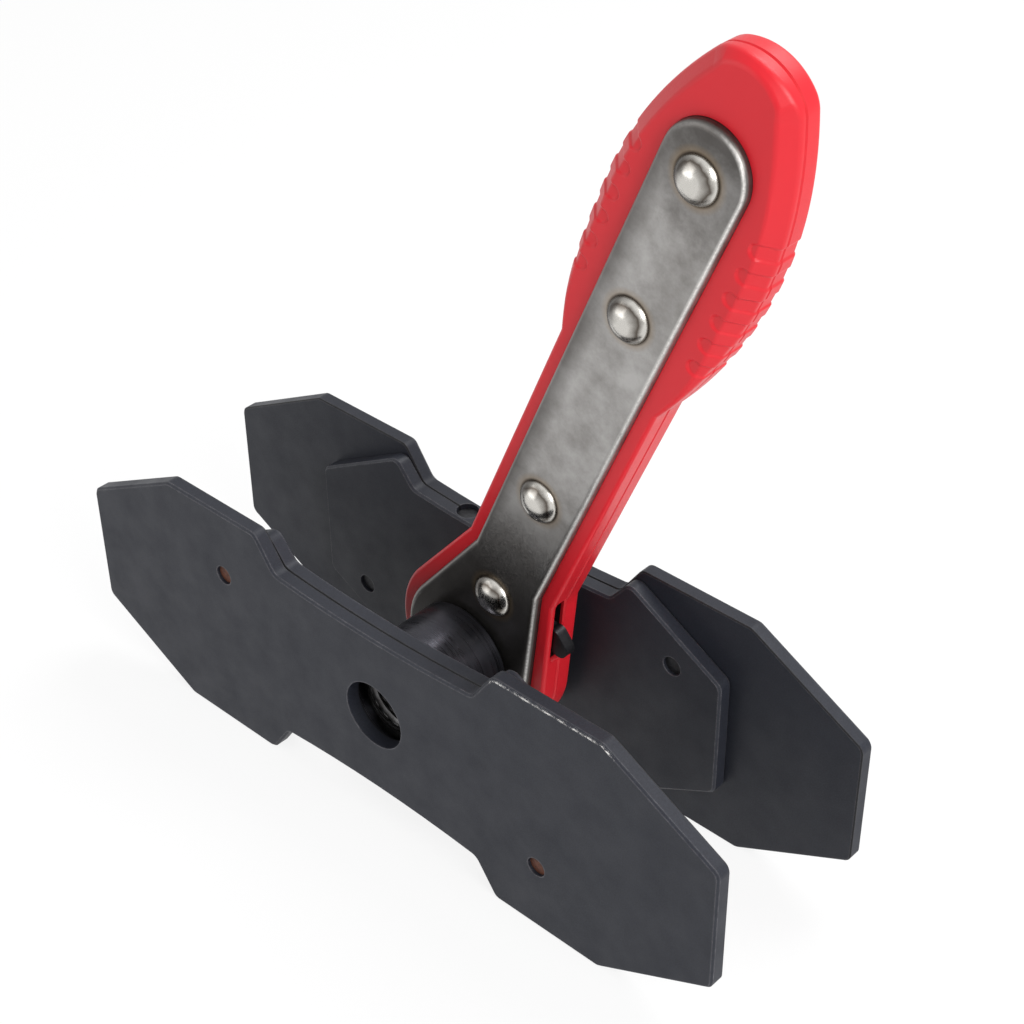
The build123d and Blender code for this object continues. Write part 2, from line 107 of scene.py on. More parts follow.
# Rows on each stretch of a handle outline. Both ways from the widest place to the top have as
# many, so that a plate's outline joins a moulding's row by row.
HEAD_ROWS, FLARE_ROWS, NECK_ROWS, BULGE_ROWS = 70, 12, 26, 230
PLAIN_SIDE_ROWS, PLAIN_END_ROWS = 100, 110
SIDE_ROWS, SHOULDER_ROWS, END_ROWS = 150, 16, 44

Frame = dict[str, Any]
Inputs = dict[str | int, Any]
Point = tuple[float, float]
Triple = tuple[float, float, float]
Curve = tuple[np.ndarray, np.ndarray]
Socket = bpy.types.NodeSocket
Material = bpy.types.Material


# ---- meshes from grids ----


@dataclass(frozen=True)
class Patch:
    """A grid of points that becomes a sheet of quads.

    Attributes:
        points: Positions in millimetres, shaped (rows, columns, 3).
        wrap: Whether the last row joins the first one.
    """

    points: np.ndarray
    wrap: bool = False

    def faces(self, start: int) -> np.ndarray:
        """Number the corners of every quad.

        Args:
            start: Number of the grid's first point in the whole mesh.

        Returns:
            Point numbers shaped (quads, 4).
        """
        rows, columns = self.points.shape[:2]
        row = np.arange(rows if self.wrap else rows - 1)[:, None]
        column = np.arange(columns - 1)[None, :]
        here = start + row * columns + column
        there = start + (row + 1) % rows * columns + column
        return np.stack([here, here + 1, there + 1, there], -1).reshape(-1, 4)


def mesh_from_patches(name: str, patches: list[Patch]) -> bpy.types.Mesh:
    """Join grids into one closed mesh, with shared borders merged and faces outward.

    Args:
        name: Name of the mesh.
        patches: The grids, whose borders meet.

    Returns:
        The mesh, in metres.
    """
    starts = np.cumsum([0] + [patch.points[..., 0].size for patch in patches])
    points = np.concatenate([patch.points.reshape(-1, 3) for patch in patches]) * MM
    faces = np.concatenate([patch.faces(int(start)) for patch, start in zip(patches, starts)])
    mesh = bpy.data.meshes.new(name)
    mesh.vertices.add(len(points))
    mesh.vertices.foreach_set("co", points.astype(np.float32).ravel())
    mesh.loops.add(faces.size)
    mesh.loops.foreach_set("vertex_index", faces.astype(np.int32).ravel())
    mesh.polygons.add(len(faces))
    mesh.polygons.foreach_set("loop_start", np.arange(0, faces.size, 4, dtype=np.int32))
    mesh.update(calc_edges=True)
    work = bmesh.new()
    work.from_mesh(mesh)
    bmesh.ops.remove_doubles(work, verts=work.verts, dist=MERGE)
    bmesh.ops.dissolve_degenerate(work, edges=work.edges, dist=MERGE)
    bmesh.ops.recalc_face_normals(work, faces=work.faces)
    work.to_mesh(mesh)
    work.free()
    return mesh


def smooth_below(mesh: bpy.types.Mesh, degrees: float) -> None:
    """Shade a mesh smooth, except where its faces meet at more than an angle."""
    mesh.shade_smooth()
    mesh.set_sharp_from_angle(angle=math.radians(degrees))


def add_object(name: str, data: bpy.types.ID) -> bpy.types.Object:
    """Link a new object at the origin that shows a mesh, or is a lamp or a camera."""
    made = bpy.data.objects.new(name, data)
    bpy.context.scene.collection.objects.link(made)
    return made


def add_piece(name: str, patches: list[Patch], degrees: float) -> bpy.types.Object:
    """Join grids into a new object, shaded smooth below an angle between its faces."""
    mesh = mesh_from_patches(name, patches)
    smooth_below(mesh, degrees)
    return add_object(name, mesh)


def cut_away(piece: bpy.types.Object, waste: list[Patch]) -> None:
    """Take waste shapes out of a piece.

    Args:
        piece: The object whose mesh is replaced by the cut one.
        waste: The waste shapes, each a grid that closes.
    """
    cutters = []
    for number, patch in enumerate(waste):
        name = f"waste_{number}"
        cutter = add_object(name, mesh_from_patches(name, [patch]))
        cut = piece.modifiers.new(name, "BOOLEAN")
        cut.operation = "DIFFERENCE"
        cut.solver = "EXACT"
        cut.object = cutter
        cutters.append(cutter)
    depsgraph = bpy.context.evaluated_depsgraph_get()
    carved = bpy.data.meshes.new_from_object(piece.evaluated_get(depsgraph))
    piece.modifiers.clear()
    piece.data = carved
    for cutter in cutters:
        bpy.data.objects.remove(cutter)


def lathe(radii: Any, heights: Any, centre: Point = (0.0, 0.0), turn: float = 0.0) -> Patch:
    """Carry radii round an axis that runs along Y.

    The point of row i and column j is the centre, plus radii[i, j] in the direction that is i
    steps round from +Z towards +X, at the height heights[j] along Y.

    Args:
        radii: Radii shaped (rows, columns), or (columns,) for a plain turned shape.
        heights: Heights along Y, one for each column.
        centre: X and Z of the axis.
        turn: Angle of the first row from +Z, in radians.

    Returns:
        The grid, whose last row joins the first.
    """
    radii = np.asarray(radii, float)
    if radii.ndim == 1:
        radii = np.repeat(radii[None, :], TURN_STEPS, axis=0)
    angle = turn + np.linspace(0, 2 * np.pi, len(radii), endpoint=False)[:, None]
    along = np.broadcast_to(heights, radii.shape)
    places = [centre[0] + radii * np.sin(angle), along, centre[1] + radii * np.cos(angle)]
    return Patch(np.stack(places, -1), wrap=True)


def box_mm(node: str) -> tuple[Vector, Vector]:
    """Lowest and highest corner of a CAD node, in millimetres."""
    low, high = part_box(node)
    return low / MM, high / MM


# ---- the handle's own axes ----


@dataclass(frozen=True)
class HandleAxes:
    """The handle's plane: its tilt about the screw axis and the height of its parting plane."""

    tilt: float
    parting: float

    def place(self, across: Any, depth: Any, along: Any) -> np.ndarray:
        """Carry places, or a direction, on the handle to the frame's axes."""
        sine, cosine = math.sin(self.tilt), math.cos(self.tilt)
        across, depth, along = np.broadcast_arrays(across, depth, along)
        return np.stack([across * cosine + along * sine, depth, along * cosine - across * sine], -1)

    def prism(self, corners: tuple[Point, ...], ends: Point) -> Patch:
        """A closed prism through the handle.

        Each row runs from the middle of one end to a corner, along the side, and to the other
        middle.

        Args:
            corners: Corners of a convex outline, as (across, along).
            ends: Its two ends along Y.

        Returns:
            The prism's grid.
        """
        rim = np.array(corners, float)
        middle = np.broadcast_to(rim.mean(0), rim.shape)
        flat = np.stack([middle, rim, rim, middle], 1)
        return Patch(self.place(flat[..., 0], np.repeat(ends, 2), flat[..., 1]), wrap=True)


def read_axes(frame: Frame) -> HandleAxes:
    """Read the handle's tilt and parting plane from the frame's joints."""
    joints = {joint["name"]: joint for joint in frame["joints"]}
    sine, _, cosine = joints["plunger_press"]["axis"]
    return HandleAxes(math.atan2(sine, cosine), joints["handle_swing"]["pos_m"][1] / MM)


@dataclass(frozen=True)
class Outline:
    """Right side of a handle outline: head, flare, straight neck, bulge, shoulder and end.

    A plate without a bulge has wide equal to neck_half, and its shoulder is where its round end
    starts.
    """

    head: float
    neck_half: float
    neck: float
    wide: float
    shoulder: Point
    end: float
    shoulder_radius: float = 6.5
    bulge: float = 93.0
    widest: float = 127.0

    def flare_normal(self) -> Point:
        """Outward normal of the flare, which touches the head and ends at the neck's corner."""
        angle = math.atan2(self.neck, self.neck_half)
        angle -= math.acos(self.head / math.hypot(self.neck_half, self.neck))
        return math.cos(angle), math.sin(angle)

    def grown(self, gap: float) -> "Outline":
        """Move a plain plate's outline outward, with its neck's corner kept sharp.

        Args:
            gap: How far outward it moves.

        Returns:
            The moved outline.
        """
        angle = math.atan2(*self.flare_normal()[::-1])
        half, height = self.shoulder
        return replace(self, head=self.head + gap, neck_half=self.neck_half + gap,
                       wide=self.wide + gap, neck=self.neck + gap * math.tan(angle / 2),
                       shoulder=(half + gap, height), end=self.end + gap)

    def trace(self) -> Curve:
        """Points and outward normals from the bottom, up the right side, to the top.

        The head is an arc about the screw axis up to the flare's tangent point. The flare and the
        neck are straight. The bulge's half width is wide - k x^2 / (1 + sqrt(1 - (k x)^2)), where
        x is the height past the widest place and k the arc's curvature. The end is an arc through
        both shoulders and the top, and a smaller arc rounds each shoulder.

        Returns:
            Points and normals, both shaped (rows, 2).
        """
        corner = np.array([self.neck_half, self.neck])
        tangent = math.atan2(*self.flare_normal()[::-1])
        head = arc((0, 0), self.head, (-math.pi / 2, tangent), HEAD_ROWS)
        parts = [head, straight(head[0][-1], corner, FLARE_ROWS),
                 straight(corner, np.array([self.neck_half, self.bulge]), NECK_ROWS)]
        below = np.linspace(self.bulge - self.widest, 0, BULGE_ROWS)
        parts.append(self.side_arc(below, self.bend(self.neck_half, self.bulge)))
        upper_bend = self.bend(*self.shoulder)
        half, height = self.shoulder
        rise = self.end - height
        end_radius = (half ** 2 + rise ** 2) / (2 * rise)
        end_centre = self.end - end_radius
        if upper_bend == 0:
            parts.append(self.side_arc(np.linspace(0, height - self.widest, PLAIN_SIDE_ROWS), 0.0))
            parts.append(arc((0, end_centre), end_radius, (0, math.pi / 2), PLAIN_END_ROWS))
        else:
            centre, low, high = self.shoulder_arc(1 / upper_bend, end_radius, end_centre)
            reach = centre[1] + self.shoulder_radius * math.sin(low) - self.widest
            parts.append(self.side_arc(np.linspace(0, reach, SIDE_ROWS), upper_bend))
            parts.append(arc(centre, self.shoulder_radius, (low, high), SHOULDER_ROWS))
            parts.append(arc((0, end_centre), end_radius, (high, math.pi / 2), END_ROWS))
        points, normals = (np.concatenate(rows) for rows in zip(*parts))
        return points, normals

    def bend(self, half: float, height: float) -> float:
        """Curvature of the side arc from the widest place to a half width at a height."""
        reach, drop = height - self.widest, self.wide - half
        return 2 * drop / (reach ** 2 + drop ** 2)

    def shoulder_arc(self, side: float, end: float, end_centre: float) -> tuple[np.ndarray, float, float]:
        """Arc that rounds a shoulder and touches the side's and the end's arcs from inside.

        Its centre is at the side's radius less its own from the side's centre, and at the end's
        radius less its own from the end's centre.

        Args:
            side: Radius of the side's arc.
            end: Radius of the end's arc.
            end_centre: Height of the end's centre on the middle line.

        Returns:
            The centre, and the angles above the across direction at which the arc starts and ends.
        """
        first = np.array([self.wide - side, self.widest])
        second = np.array([0, end_centre])
        reach_first, reach_second = side - self.shoulder_radius, end - self.shoulder_radius
        span = math.hypot(*(second - first))
        forward = (second - first) / span
        along = (reach_first ** 2 - reach_second ** 2 + span ** 2) / (2 * span)
        offset = math.sqrt(reach_first ** 2 - along ** 2)
        centre = first + forward * along + np.array([-forward[1], forward[0]]) * offset
        low = math.atan2(*(centre - first)[::-1])
        high = math.atan2(*(centre - second)[::-1])
        return centre, low, high

    def side_arc(self, x: np.ndarray, curvature: float) -> Curve:
        """Points and normals of a side arc at heights x past the widest place."""
        root = np.sqrt(1 - (curvature * x) ** 2)
        half = self.wide - curvature * x ** 2 / (1 + root)
        return np.stack([half, self.widest + x], -1), np.stack([root, curvature * x], -1)


def arc(centre: Any, radius: float, angles: Point, count: int) -> Curve:
    """Points and outward normals of an arc between two angles above the across direction."""
    angle = np.linspace(*angles, count)[:, None]
    radial = np.hstack([np.cos(angle), np.sin(angle)])
    return np.asarray(centre) + radial * radius, radial


def straight(start: np.ndarray, stop: np.ndarray, count: int) -> Curve:
    """Points of a straight side that runs up the handle, and its outward normals."""
    share = np.linspace(0, 1, count)[:, None]
    along = (stop - start) / np.hypot(*(stop - start))
    return start + (stop - start) * share, np.repeat([[along[1], -along[0]]], count, axis=0)


# ---- shader helpers ----

# Numbers of the Mix node's inputs for colours, because their names stand for several inputs.
MIX_FACTOR, MIX_A, MIX_B = 0, 6, 7


def linear(colour: str) -> tuple[float, float, float, float]:
    """Turn an sRGB hex value such as "#c82a2e" into a linear colour with alpha."""
    parts = [int(colour[at:at + 2], 16) / 255 for at in (1, 3, 5)]
    red, green, blue = (p / 12.92 if p <= 0.04045 else ((p + 0.055) / 1.055) ** 2.4 for p in parts)
    return (red, green, blue, 1.0)


@dataclass(frozen=True)
class Net:
    """The node tree of a material or a world, emptied first, and the masks that its nodes make."""

    owner: Any

    def __post_init__(self) -> None:
        """Clear what Blender puts into a new tree."""
        self.owner.use_nodes = True
        self.owner.node_tree.nodes.clear()

    @cached_property
    def where(self) -> Socket:
        """The Object coordinates, turned into millimetres."""
        source = self.add("TexCoord", output="Object")
        return self.add("Mapping", {"Vector": source, "Scale": (1 / MM,) * 3})

    def add(self, kind: str, inputs: Inputs | None = None, output: str | None = None,
            **settings: Any) -> Socket | None:
        """Add a node with its settings, its constant inputs and its links.

        Args:
            kind: Blender's name for the node, without the "ShaderNode" in front.
            inputs: Value, or the socket to link, for each input by name or number.
            output: Name of the output that is wanted, or None for the first one in use.
            **settings: The node's own properties.

        Returns:
            The output, or None where the node has none.
        """
        tree = self.owner.node_tree
        node = tree.nodes.new("ShaderNode" + kind)
        for name, value in settings.items():
            setattr(node, name, value)
        for key, value in (inputs or {}).items():
            if isinstance(value, Socket):
                tree.links.new(value, node.inputs[key])
            else:
                node.inputs[key].default_value = value
        if output is not None:
            return node.outputs[output]
        return next((socket for socket in node.outputs if socket.enabled), None)

    def combined(self, operation: str, *values: Socket) -> Socket:
        """Combine values one after another by an operation of the Math node."""
        return reduce(lambda one, two: self.add("Math", {0: one, 1: two}, operation=operation), values)

    def layered(self, colour: Any, *layers: tuple[Socket, str]) -> Socket:
        """Lay colours over a first one, each through its mask, from the bottom up.

        Args:
            colour: The first colour, as a linear value or a socket.
            *layers: Mask and sRGB hex value of each layer.

        Returns:
            The colour that is seen.
        """
        for mask, over in layers:
            colour = self.add("Mix", {MIX_FACTOR: mask, MIX_A: colour, MIX_B: linear(over)}, data_type="RGBA")
        return colour

    def peaked(self, value: Socket, first: float, top: float, last: float) -> Socket:
        """Mask that is zero at a first value, one at the top and zero again at a last one."""
        sides = [self.add("MapRange", {"Value": value, "From Min": mark, "From Max": top})
                 for mark in (first, last)]
        return self.combined("MINIMUM", *sides)

    def shaken(self, value: Socket, noise: Socket, reach: float) -> Socket:
        """Move a value up and down with a noise, by at most a reach."""
        shift = self.add("MapRange", {"Value": noise, "To Min": -reach, "To Max": reach})
        return self.combined("ADD", value, shift)

    def facing(self, direction: Any) -> Socket:
        """How far the surface faces a direction in the object's axes, from -1 to 1."""
        normal = self.add("TexCoord", output="Normal")
        return self.add("VectorMath", {0: normal, 1: tuple(direction)}, operation="DOT_PRODUCT")

    def facing_y(self) -> Socket:
        """How far the surface faces either way along the object's Y, from 0 to 1."""
        return self.add("Math", {0: self.facing((0.0, 1.0, 0.0))}, operation="ABSOLUTE")

    def in_box(self, where: Socket, spans: dict[str, Point]) -> Socket:
        """One inside a box and zero outside it.

        Args:
            where: Coordinates in millimetres.
            spans: Lowest and highest place along each axis that bounds the box.

        Returns:
            The mask, zero or one.
        """
        parts = self.add("SeparateXYZ", {"Vector": where}).node.outputs
        tests = [self.add("Math", {0: parts[axis], 1: limit}, operation=test)
                 for axis, span in spans.items() for limit, test in zip(span, ("GREATER_THAN", "LESS_THAN"))]
        return self.combined("MULTIPLY", *tests)

    def nearest_axis(self, axes: list[Point]) -> Socket:
        """Distance from the nearest of several axes that run along Y.

        Args:
            axes: X and Z of each axis.

        Returns:
            The distance in millimetres.
        """
        level = self.add("VectorMath", {0: self.where, 1: (1.0, 0.0, 1.0)}, operation="MULTIPLY")
        return self.combined("MINIMUM", *(
            self.add("VectorMath", {0: level, 1: (x, 0.0, z)}, operation="DISTANCE") for x, z in axes))


# ---- finishes ----

# Sizes that end in _mm are those of the real patterns. The phosphate's grain, the turning rings,
# the rolling lines, the rivets' hair marks and the mould's grain are finer on the real tool, too
# fine to show, and are drawn as coarse as they need to be seen.


@dataclass(frozen=True)
class Finish:
    """What every finish has.

    Attributes:
        name: Name of the material.
        colour: Its main colour.
        roughness: Its mean roughness.
        gloss: How far a noise takes the roughness down and up.
        bump: Strength of the bump, and its depth in millimetres.
    """

    name: str
    colour: str
    roughness: float
    gloss: Point
    bump: Point

    def begin(self) -> Net:
        """Start an empty material."""
        return Net(bpy.data.materials.new(self.name))

    def end(self, net: Net, colour: Socket, shine: Socket, height: Socket, inputs: Inputs) -> Material:
        """Finish a material with one Principled shader.

        Args:
            net: The material's nodes.
            colour: The base colour.
            shine: Noise that spreads the roughness.
            height: Noise that the bump follows.
            inputs: The shader's other inputs.

        Returns:
            The material.
        """
        down, up = self.gloss
        spread = net.add("MapRange", {
            "Value": shine, "From Min": 0.3, "From Max": 0.7,
            "To Min": self.roughness - down, "To Max": self.roughness + up})
        strength, depth = self.bump
        normal = net.add("Bump", {"Height": height, "Strength": strength, "Distance": depth * MM})
        main = {"Base Color": colour, "Roughness": spread, "Normal": normal}
        net.add("OutputMaterial", {"Surface": net.add("BsdfPrincipled", main | inputs)})
        return net.owner


@dataclass(frozen=True)
class BlackPlate(Finish):
    """Laser-cut spring steel with a black phosphate coat: satin, mottled, worn bright at its rims, with
    painted shade in the seams and painted glints on one scrape.
    """

    name: str = "black_phosphated_steel"
    colour: str = "#25272f"
    roughness: float = 0.5
    gloss: Point = (0.07, 0.09)
    bump: Point = (0.22, 0.05)
    mottle: str = "#1f2128"
    worn_and_highlit: str = "#67666a"
    # Near white: painted glints on the worn steel of the scrape.
    scrape_glint: str = "#f0eeea"
    # gap: near-black painted shade for the seams between the plates.
    gap: str = "#08080a"
    mottle_mm: float = 9.0
    grain_mm: float = 0.35
    rub_mm: float = 0.55
    rub_samples: int = 6
    patch_mm: float = 1.6
    glint_mm: float = 1.3
    seam_mm: Point = (0.12, 0.5)
    scrape_low: Triple = (33.5, -1.0, 8.0)
    scrape_high: Triple = (65.0, 0.32, 40.0)

    def make(self, seams: list[float]) -> Material:
        """Build the material.

        Args:
            seams: Height along Y, in millimetres, of each plane where two plates meet.

        Returns:
            The material.
        """
        net = self.begin()
        cloud = net.add("TexNoise", {"Vector": net.where, "Scale": 1 / self.mottle_mm,
                                     "Detail": 6.0, "Roughness": 0.62})
        grain = net.add("TexNoise", {"Vector": net.where, "Scale": 1 / self.grain_mm, "Detail": 2.0})
        speck = net.add("MapRange", {"Value": grain, "From Min": 0.3, "From Max": 0.7,
                                     "To Min": 0.8, "To Max": 1.2})
        base = net.layered(linear(self.colour), (cloud, self.mottle))
        tinted = net.add("VectorMath", {0: base, 1: speck}, operation="MULTIPLY")
        # The seams take the gap colour, a painted shade.
        clear = self.off_seams(net, seams)
        closed = net.add("Mix", {MIX_FACTOR: clear, MIX_A: linear(self.gap), MIX_B: tinted},
                         data_type="RGBA")
        rim = net.combined("MULTIPLY", self.rim_wear(net), clear)
        glinting_scrape = self.scrape(net, rim)
        shade = net.layered(closed, (rim, self.worn_and_highlit), (glinting_scrape, self.scrape_glint))
        return self.end(net, shade, cloud, grain, {"Specular IOR Level": 0.25})

    def off_seams(self, net: Net, seams: list[float]) -> Socket:
        """One away from the seams, falling to zero in them, so that each seam reads as a dark line of painted
        shade.

        A seam shows on the plates' cut edges only. Broad faces in a seam's plane, whose normal runs
        along the object's Y, keep their colour.

        Args:
            net: The material's nodes.
            seams: Height along Y of each seam.

        Returns:
            The mask, from 0 to 1.
        """
        height = net.add("SeparateXYZ", {"Vector": net.where}, output="Y")
        dark, clear = self.seam_mm
        away = []
        for seam in seams:
            apart = net.add("Math", {0: height, 1: seam}, operation="SUBTRACT")
            apart = net.add("Math", {0: apart}, operation="ABSOLUTE")
            away.append(net.add("MapRange", {"Value": apart, "From Min": dark, "From Max": clear}))
        flat = net.add("MapRange", {"Value": net.facing_y(), "From Min": 0.85, "From Max": 0.98})
        return net.combined("MAXIMUM", net.combined("MULTIPLY", *away), flat)

    def rim_wear(self, net: Net) -> Socket:
        """Mask of the rims that handling has worn.

        The mask is one minus how far the surface's own normal agrees with one rounded over the
        rub's width, broken up by a noise so that the rub comes and goes.

        Args:
            net: The material's nodes.

        Returns:
            The mask, from 0 to 1.
        """
        rounded = net.add("Bevel", {"Radius": self.rub_mm * MM}, samples=self.rub_samples)
        flat = net.add("NewGeometry", output="True Normal")
        agree = net.add("VectorMath", {0: rounded, 1: flat}, operation="DOT_PRODUCT")
        patchy = net.add("TexNoise", {"Vector": net.where, "Scale": 1 / self.patch_mm,
                                      "Detail": 5.0, "Roughness": 0.7})
        reach = net.add("MapRange", {"Value": patchy, "From Min": 0.35, "From Max": 0.7, "To Min": 0.15})
        edge = net.add("MapRange", {"Value": agree, "From Min": 0.995, "From Max": 0.9})
        return net.combined("MULTIPLY", edge, reach)

    def scrape(self, net: Net, rim: Socket) -> Socket:
        """Mask of the scrape along the near jaw's front edge, right of its notch, whose glints are painted
        highlights.

        It is the rim's wear inside one box, times a fine noise that breaks it into painted glints.

        Args:
            net: The material's nodes.
            rim: Mask of the worn rims.

        Returns:
            The mask, from 0 to 1.
        """
        inside = net.in_box(net.where, dict(zip("XYZ", zip(self.scrape_low, self.scrape_high))))
        glint = net.add("TexNoise", {"Vector": net.where, "Scale": 1 / self.glint_mm,
                                     "Detail": 5.0, "Roughness": 0.85})
        broken = net.add("MapRange", {"Value": glint, "From Min": 0.46, "From Max": 0.56})
        strong = net.add("MapRange", {"Value": rim, "From Min": 0.03, "From Max": 0.2})
        return net.combined("MULTIPLY", broken, strong, inside)


@dataclass(frozen=True)
class TurnedSteel(Finish):
    """Turned steel: fine rings round the screw axis, darker where oil or blacking has stayed."""

    name: str = "turned_steel"
    colour: str = "#6f6f70"
    roughness: float = 0.33
    gloss: Point = (0.08, 0.1)
    bump: Point = (0.3, 0.04)
    stained: str = "#3d3a39"
    metallic: float = 1.0
    ring_mm: float = 0.5
    stain_mm: float = 5.0

    def make(self) -> Material:
        """Build the material."""
        net = self.begin()
        drawn = net.add("Mapping", {"Vector": net.where, "Scale": (0.02, 1.0, 0.02)})
        rings = net.add("TexNoise", {"Vector": drawn, "Scale": 1 / self.ring_mm, "Detail": 3.0})
        cloud = net.add("TexNoise", {"Vector": net.where, "Scale": 1 / self.stain_mm,
                                     "Detail": 7.0, "Roughness": 0.7})
        share = net.add("MapRange", {"Value": cloud, "From Min": 0.35, "From Max": 0.68})
        shade = net.layered(linear(self.colour), (share, self.stained))
        return self.end(net, shade, rings, rings, {"Metallic": self.metallic})


@dataclass(frozen=True)
class NickelPlate(Finish):
    """Nickel-plated rolled steel: warm grey, faint rolling lines and dull clouds, with a painted highlight
    along the rims, a painted shadow ring round each rivet and a painted dark reflection on its left side.
    """

    name: str = "nickel_plated_steel"
    colour: str = "#adaba9"
    roughness: float = 0.36
    gloss: Point = (0.06, 0.1)
    bump: Point = (0.2, 0.03)
    dull: str = "#827f7c"
    # The bright colour is a painted highlight along the rims.
    bright: str = "#e6e4e0"
    halo: str = "#8a7455"
    shadow: str = "#2b2622"
    darker_tone: str = "#3b3734"
    cloud_mm: float = 14.0
    line_mm: float = 0.4
    speck_mm: float = 0.5
    halo_mm: Point = (6.4, 4.5)
    halo_share: float = 0.6
    contact_mm: Point = (5.2, 4.7)
    contact_share: float = 0.85
    # Metallic on the face and at the rim's painted highlight, lower there so that the rim shows whitish under
    # the key lamp.
    metallic: Point = (0.9, 0.6)
    border_mm: float = 9.0
    # Heights of the darker ends, and the span across of the left side's painted dark reflection.
    head_darkening: Point = (52.0, 26.0)
    end_darkening: Point = (132.0, 151.0)
    side_dark_reflection: Point = (-4.2, -9.6)
    darkening_share: float = 0.85
    rim_turns: Triple = (0.95, 0.76, 0.5)

    def make(self, axes: HandleAxes, rivets: list[Point]) -> Material:
        """Build the material.

        Args:
            axes: The handle's axes.
            rivets: X and Z of each rivet's axis, round which a painted shadow ring and a brown halo lie.

        Returns:
            The material.
        """
        net = self.begin()
        turned = net.add("Mapping", {"Vector": net.where, "Rotation": (0.0, -axes.tilt, 0.0)})
        drawn = net.add("Mapping", {"Vector": turned, "Scale": (1.0, 1.0, 0.05)})
        lines = net.add("TexNoise", {"Vector": drawn, "Scale": 1 / self.line_mm, "Detail": 3.0})
        cloud = net.add("TexNoise", {"Vector": turned, "Scale": 1 / self.cloud_mm,
                                     "Detail": 7.0, "Roughness": 0.66})
        speck = net.add("TexNoise", {"Vector": turned, "Scale": 1 / self.speck_mm, "Detail": 3.0})
        clouds = net.add("MapRange", {"Value": cloud, "From Min": 0.36, "From Max": 0.66})
        near = net.nearest_axis(rivets)
        # A brown halo round each rivet, and inside it a painted shadow ring in the shadow colour.
        browned, rivet_shadow_ring = (
            net.add("MapRange", {"Value": near, "From Min": start, "From Max": full, "To Max": share})
            for (start, full), share in ((self.halo_mm, self.halo_share),
                                         (self.contact_mm, self.contact_share)))
        # The rim's painted highlight: bright, less metallic and strongest on the right side.
        rim = self.painted_rim_highlight(net, axes, speck)
        shade = net.layered(linear(self.colour), (clouds, self.dull),
                            (self.darker_ends_and_side(net, turned, cloud), self.darker_tone),
                            (browned, self.halo), (rivet_shadow_ring, self.shadow), (rim, self.bright))
        clean, worn_and_highlit = self.metallic
        metal = net.add("MapRange", {"Value": rim, "To Min": clean, "To Max": worn_and_highlit})
        return self.end(net, shade, speck, net.combined("ADD", lines, speck), {"Metallic": metal})

    def painted_rim_highlight(self, net: Net, axes: HandleAxes, speck: Socket) -> Socket:
        """Mask of the painted highlight half way round the rim, strongest on the right side, which faces the
        key lamp.

        The surface turns away from the plate's face there, so the mask peaks at one share of the
        object's Y in its normal and is zero at the two others. The fingers' side, on the left of
        the handle and away from the key lamp, gets much less of the painted highlight.

        Args:
            net: The material's nodes.
            axes: The handle's axes.
            speck: Fine noise that breaks the painted highlight up.

        Returns:
            The mask, from 0 to 1.
        """
        rightward = net.facing(axes.place(1, 0, 0))
        lit_right_side = net.add("MapRange", {"Value": rightward, "From Min": -0.1, "From Max": 0.45,
                                    "To Min": 0.12})
        reach = net.add("MapRange", {"Value": speck, "From Min": 0.3, "From Max": 0.6, "To Min": 0.6})
        return net.combined("MULTIPLY", net.peaked(net.facing_y(), *self.rim_turns), reach, lit_right_side)

    def darker_ends_and_side(self, net: Net, turned: Socket, cloud: Socket) -> Socket:
        """Mask of the darker ends and left side; the darker left side is a painted dark reflection.

        It grows from a clear place to a darker one at each end of the plate and towards its left
        side, and a noise moves the ends' borders up and down.

        Args:
            net: The material's nodes.
            turned: Coordinates on the handle, in millimetres.
            cloud: Noise that moves the borders.

        Returns:
            The mask, from 0 to 1.
        """
        parts = net.add("SeparateXYZ", {"Vector": turned}).node.outputs
        height = net.shaken(parts["Z"], cloud, self.border_mm)
        places = [(height, self.head_darkening), (height, self.end_darkening), (parts["X"], self.side_dark_reflection)]
        return net.combined("MAXIMUM", *(
            net.add("MapRange", {"Value": place, "From Min": clear, "From Max": full,
                                 "To Max": self.darkening_share}) for place, (clear, full) in places))


@dataclass(frozen=True)
class RivetSteel(Finish):
    """Bright cold-headed steel: mirror-like, with shallow dents, a painted dark reflection ring and painted
    shade on one flank.
    """

    name: str = "cold_headed_bright_steel"
    colour: str = "#cbc8c2"
    roughness: float = 0.2
    gloss: Point = (0.05, 0.12)
    bump: Point = (0.16, 0.2)
    # A painted dark reflection ring round each dome, and painted shade on its left flank.
    reflection_ring: str = "#575049"
    flank_shade: str = "#3b3632"
    flank: Point = (0.12, 0.62)
    flank_blur: float = 0.25
    flank_shade_share: float = 0.85
    dent_mm: float = 2.6
    hair_mm: float = 0.3
    ring_mm: Triple = (2.0, 3.6, 4.3)
    ring_wobble_mm: float = 0.7

    def make(self, axes: HandleAxes, centres: list[Point]) -> Material:
        """Build the material, with painted shade on the flank that faces the fingers' side.

        Args:
            axes: The handle's axes.
            centres: X and Z of each rivet's axis.

        Returns:
            The material.
        """
        net = self.begin()
        dents = net.add("TexNoise", {"Vector": net.where, "Scale": 1 / self.dent_mm, "Detail": 2.0})
        hair = net.add("TexNoise", {"Vector": net.where, "Scale": 1 / self.hair_mm, "Detail": 3.0})
        away = net.shaken(net.nearest_axis(centres), dents, self.ring_wobble_mm)
        # Painted shade on the flank that faces left.
        leftward = net.shaken(net.facing(axes.place(-1, 0, 0)), dents, self.flank_blur)
        low, high = self.flank
        shaded_flank = net.add("MapRange", {"Value": leftward, "From Min": low, "From Max": high,
                                      "To Max": self.flank_shade_share})
        # Painted dark reflection ring round each dome.
        ring = net.peaked(away, *self.ring_mm)
        shade = net.layered(linear(self.colour), (ring, self.reflection_ring), (shaded_flank, self.flank_shade))
        return self.end(net, shade, hair, dents, {"Metallic": 1.0})


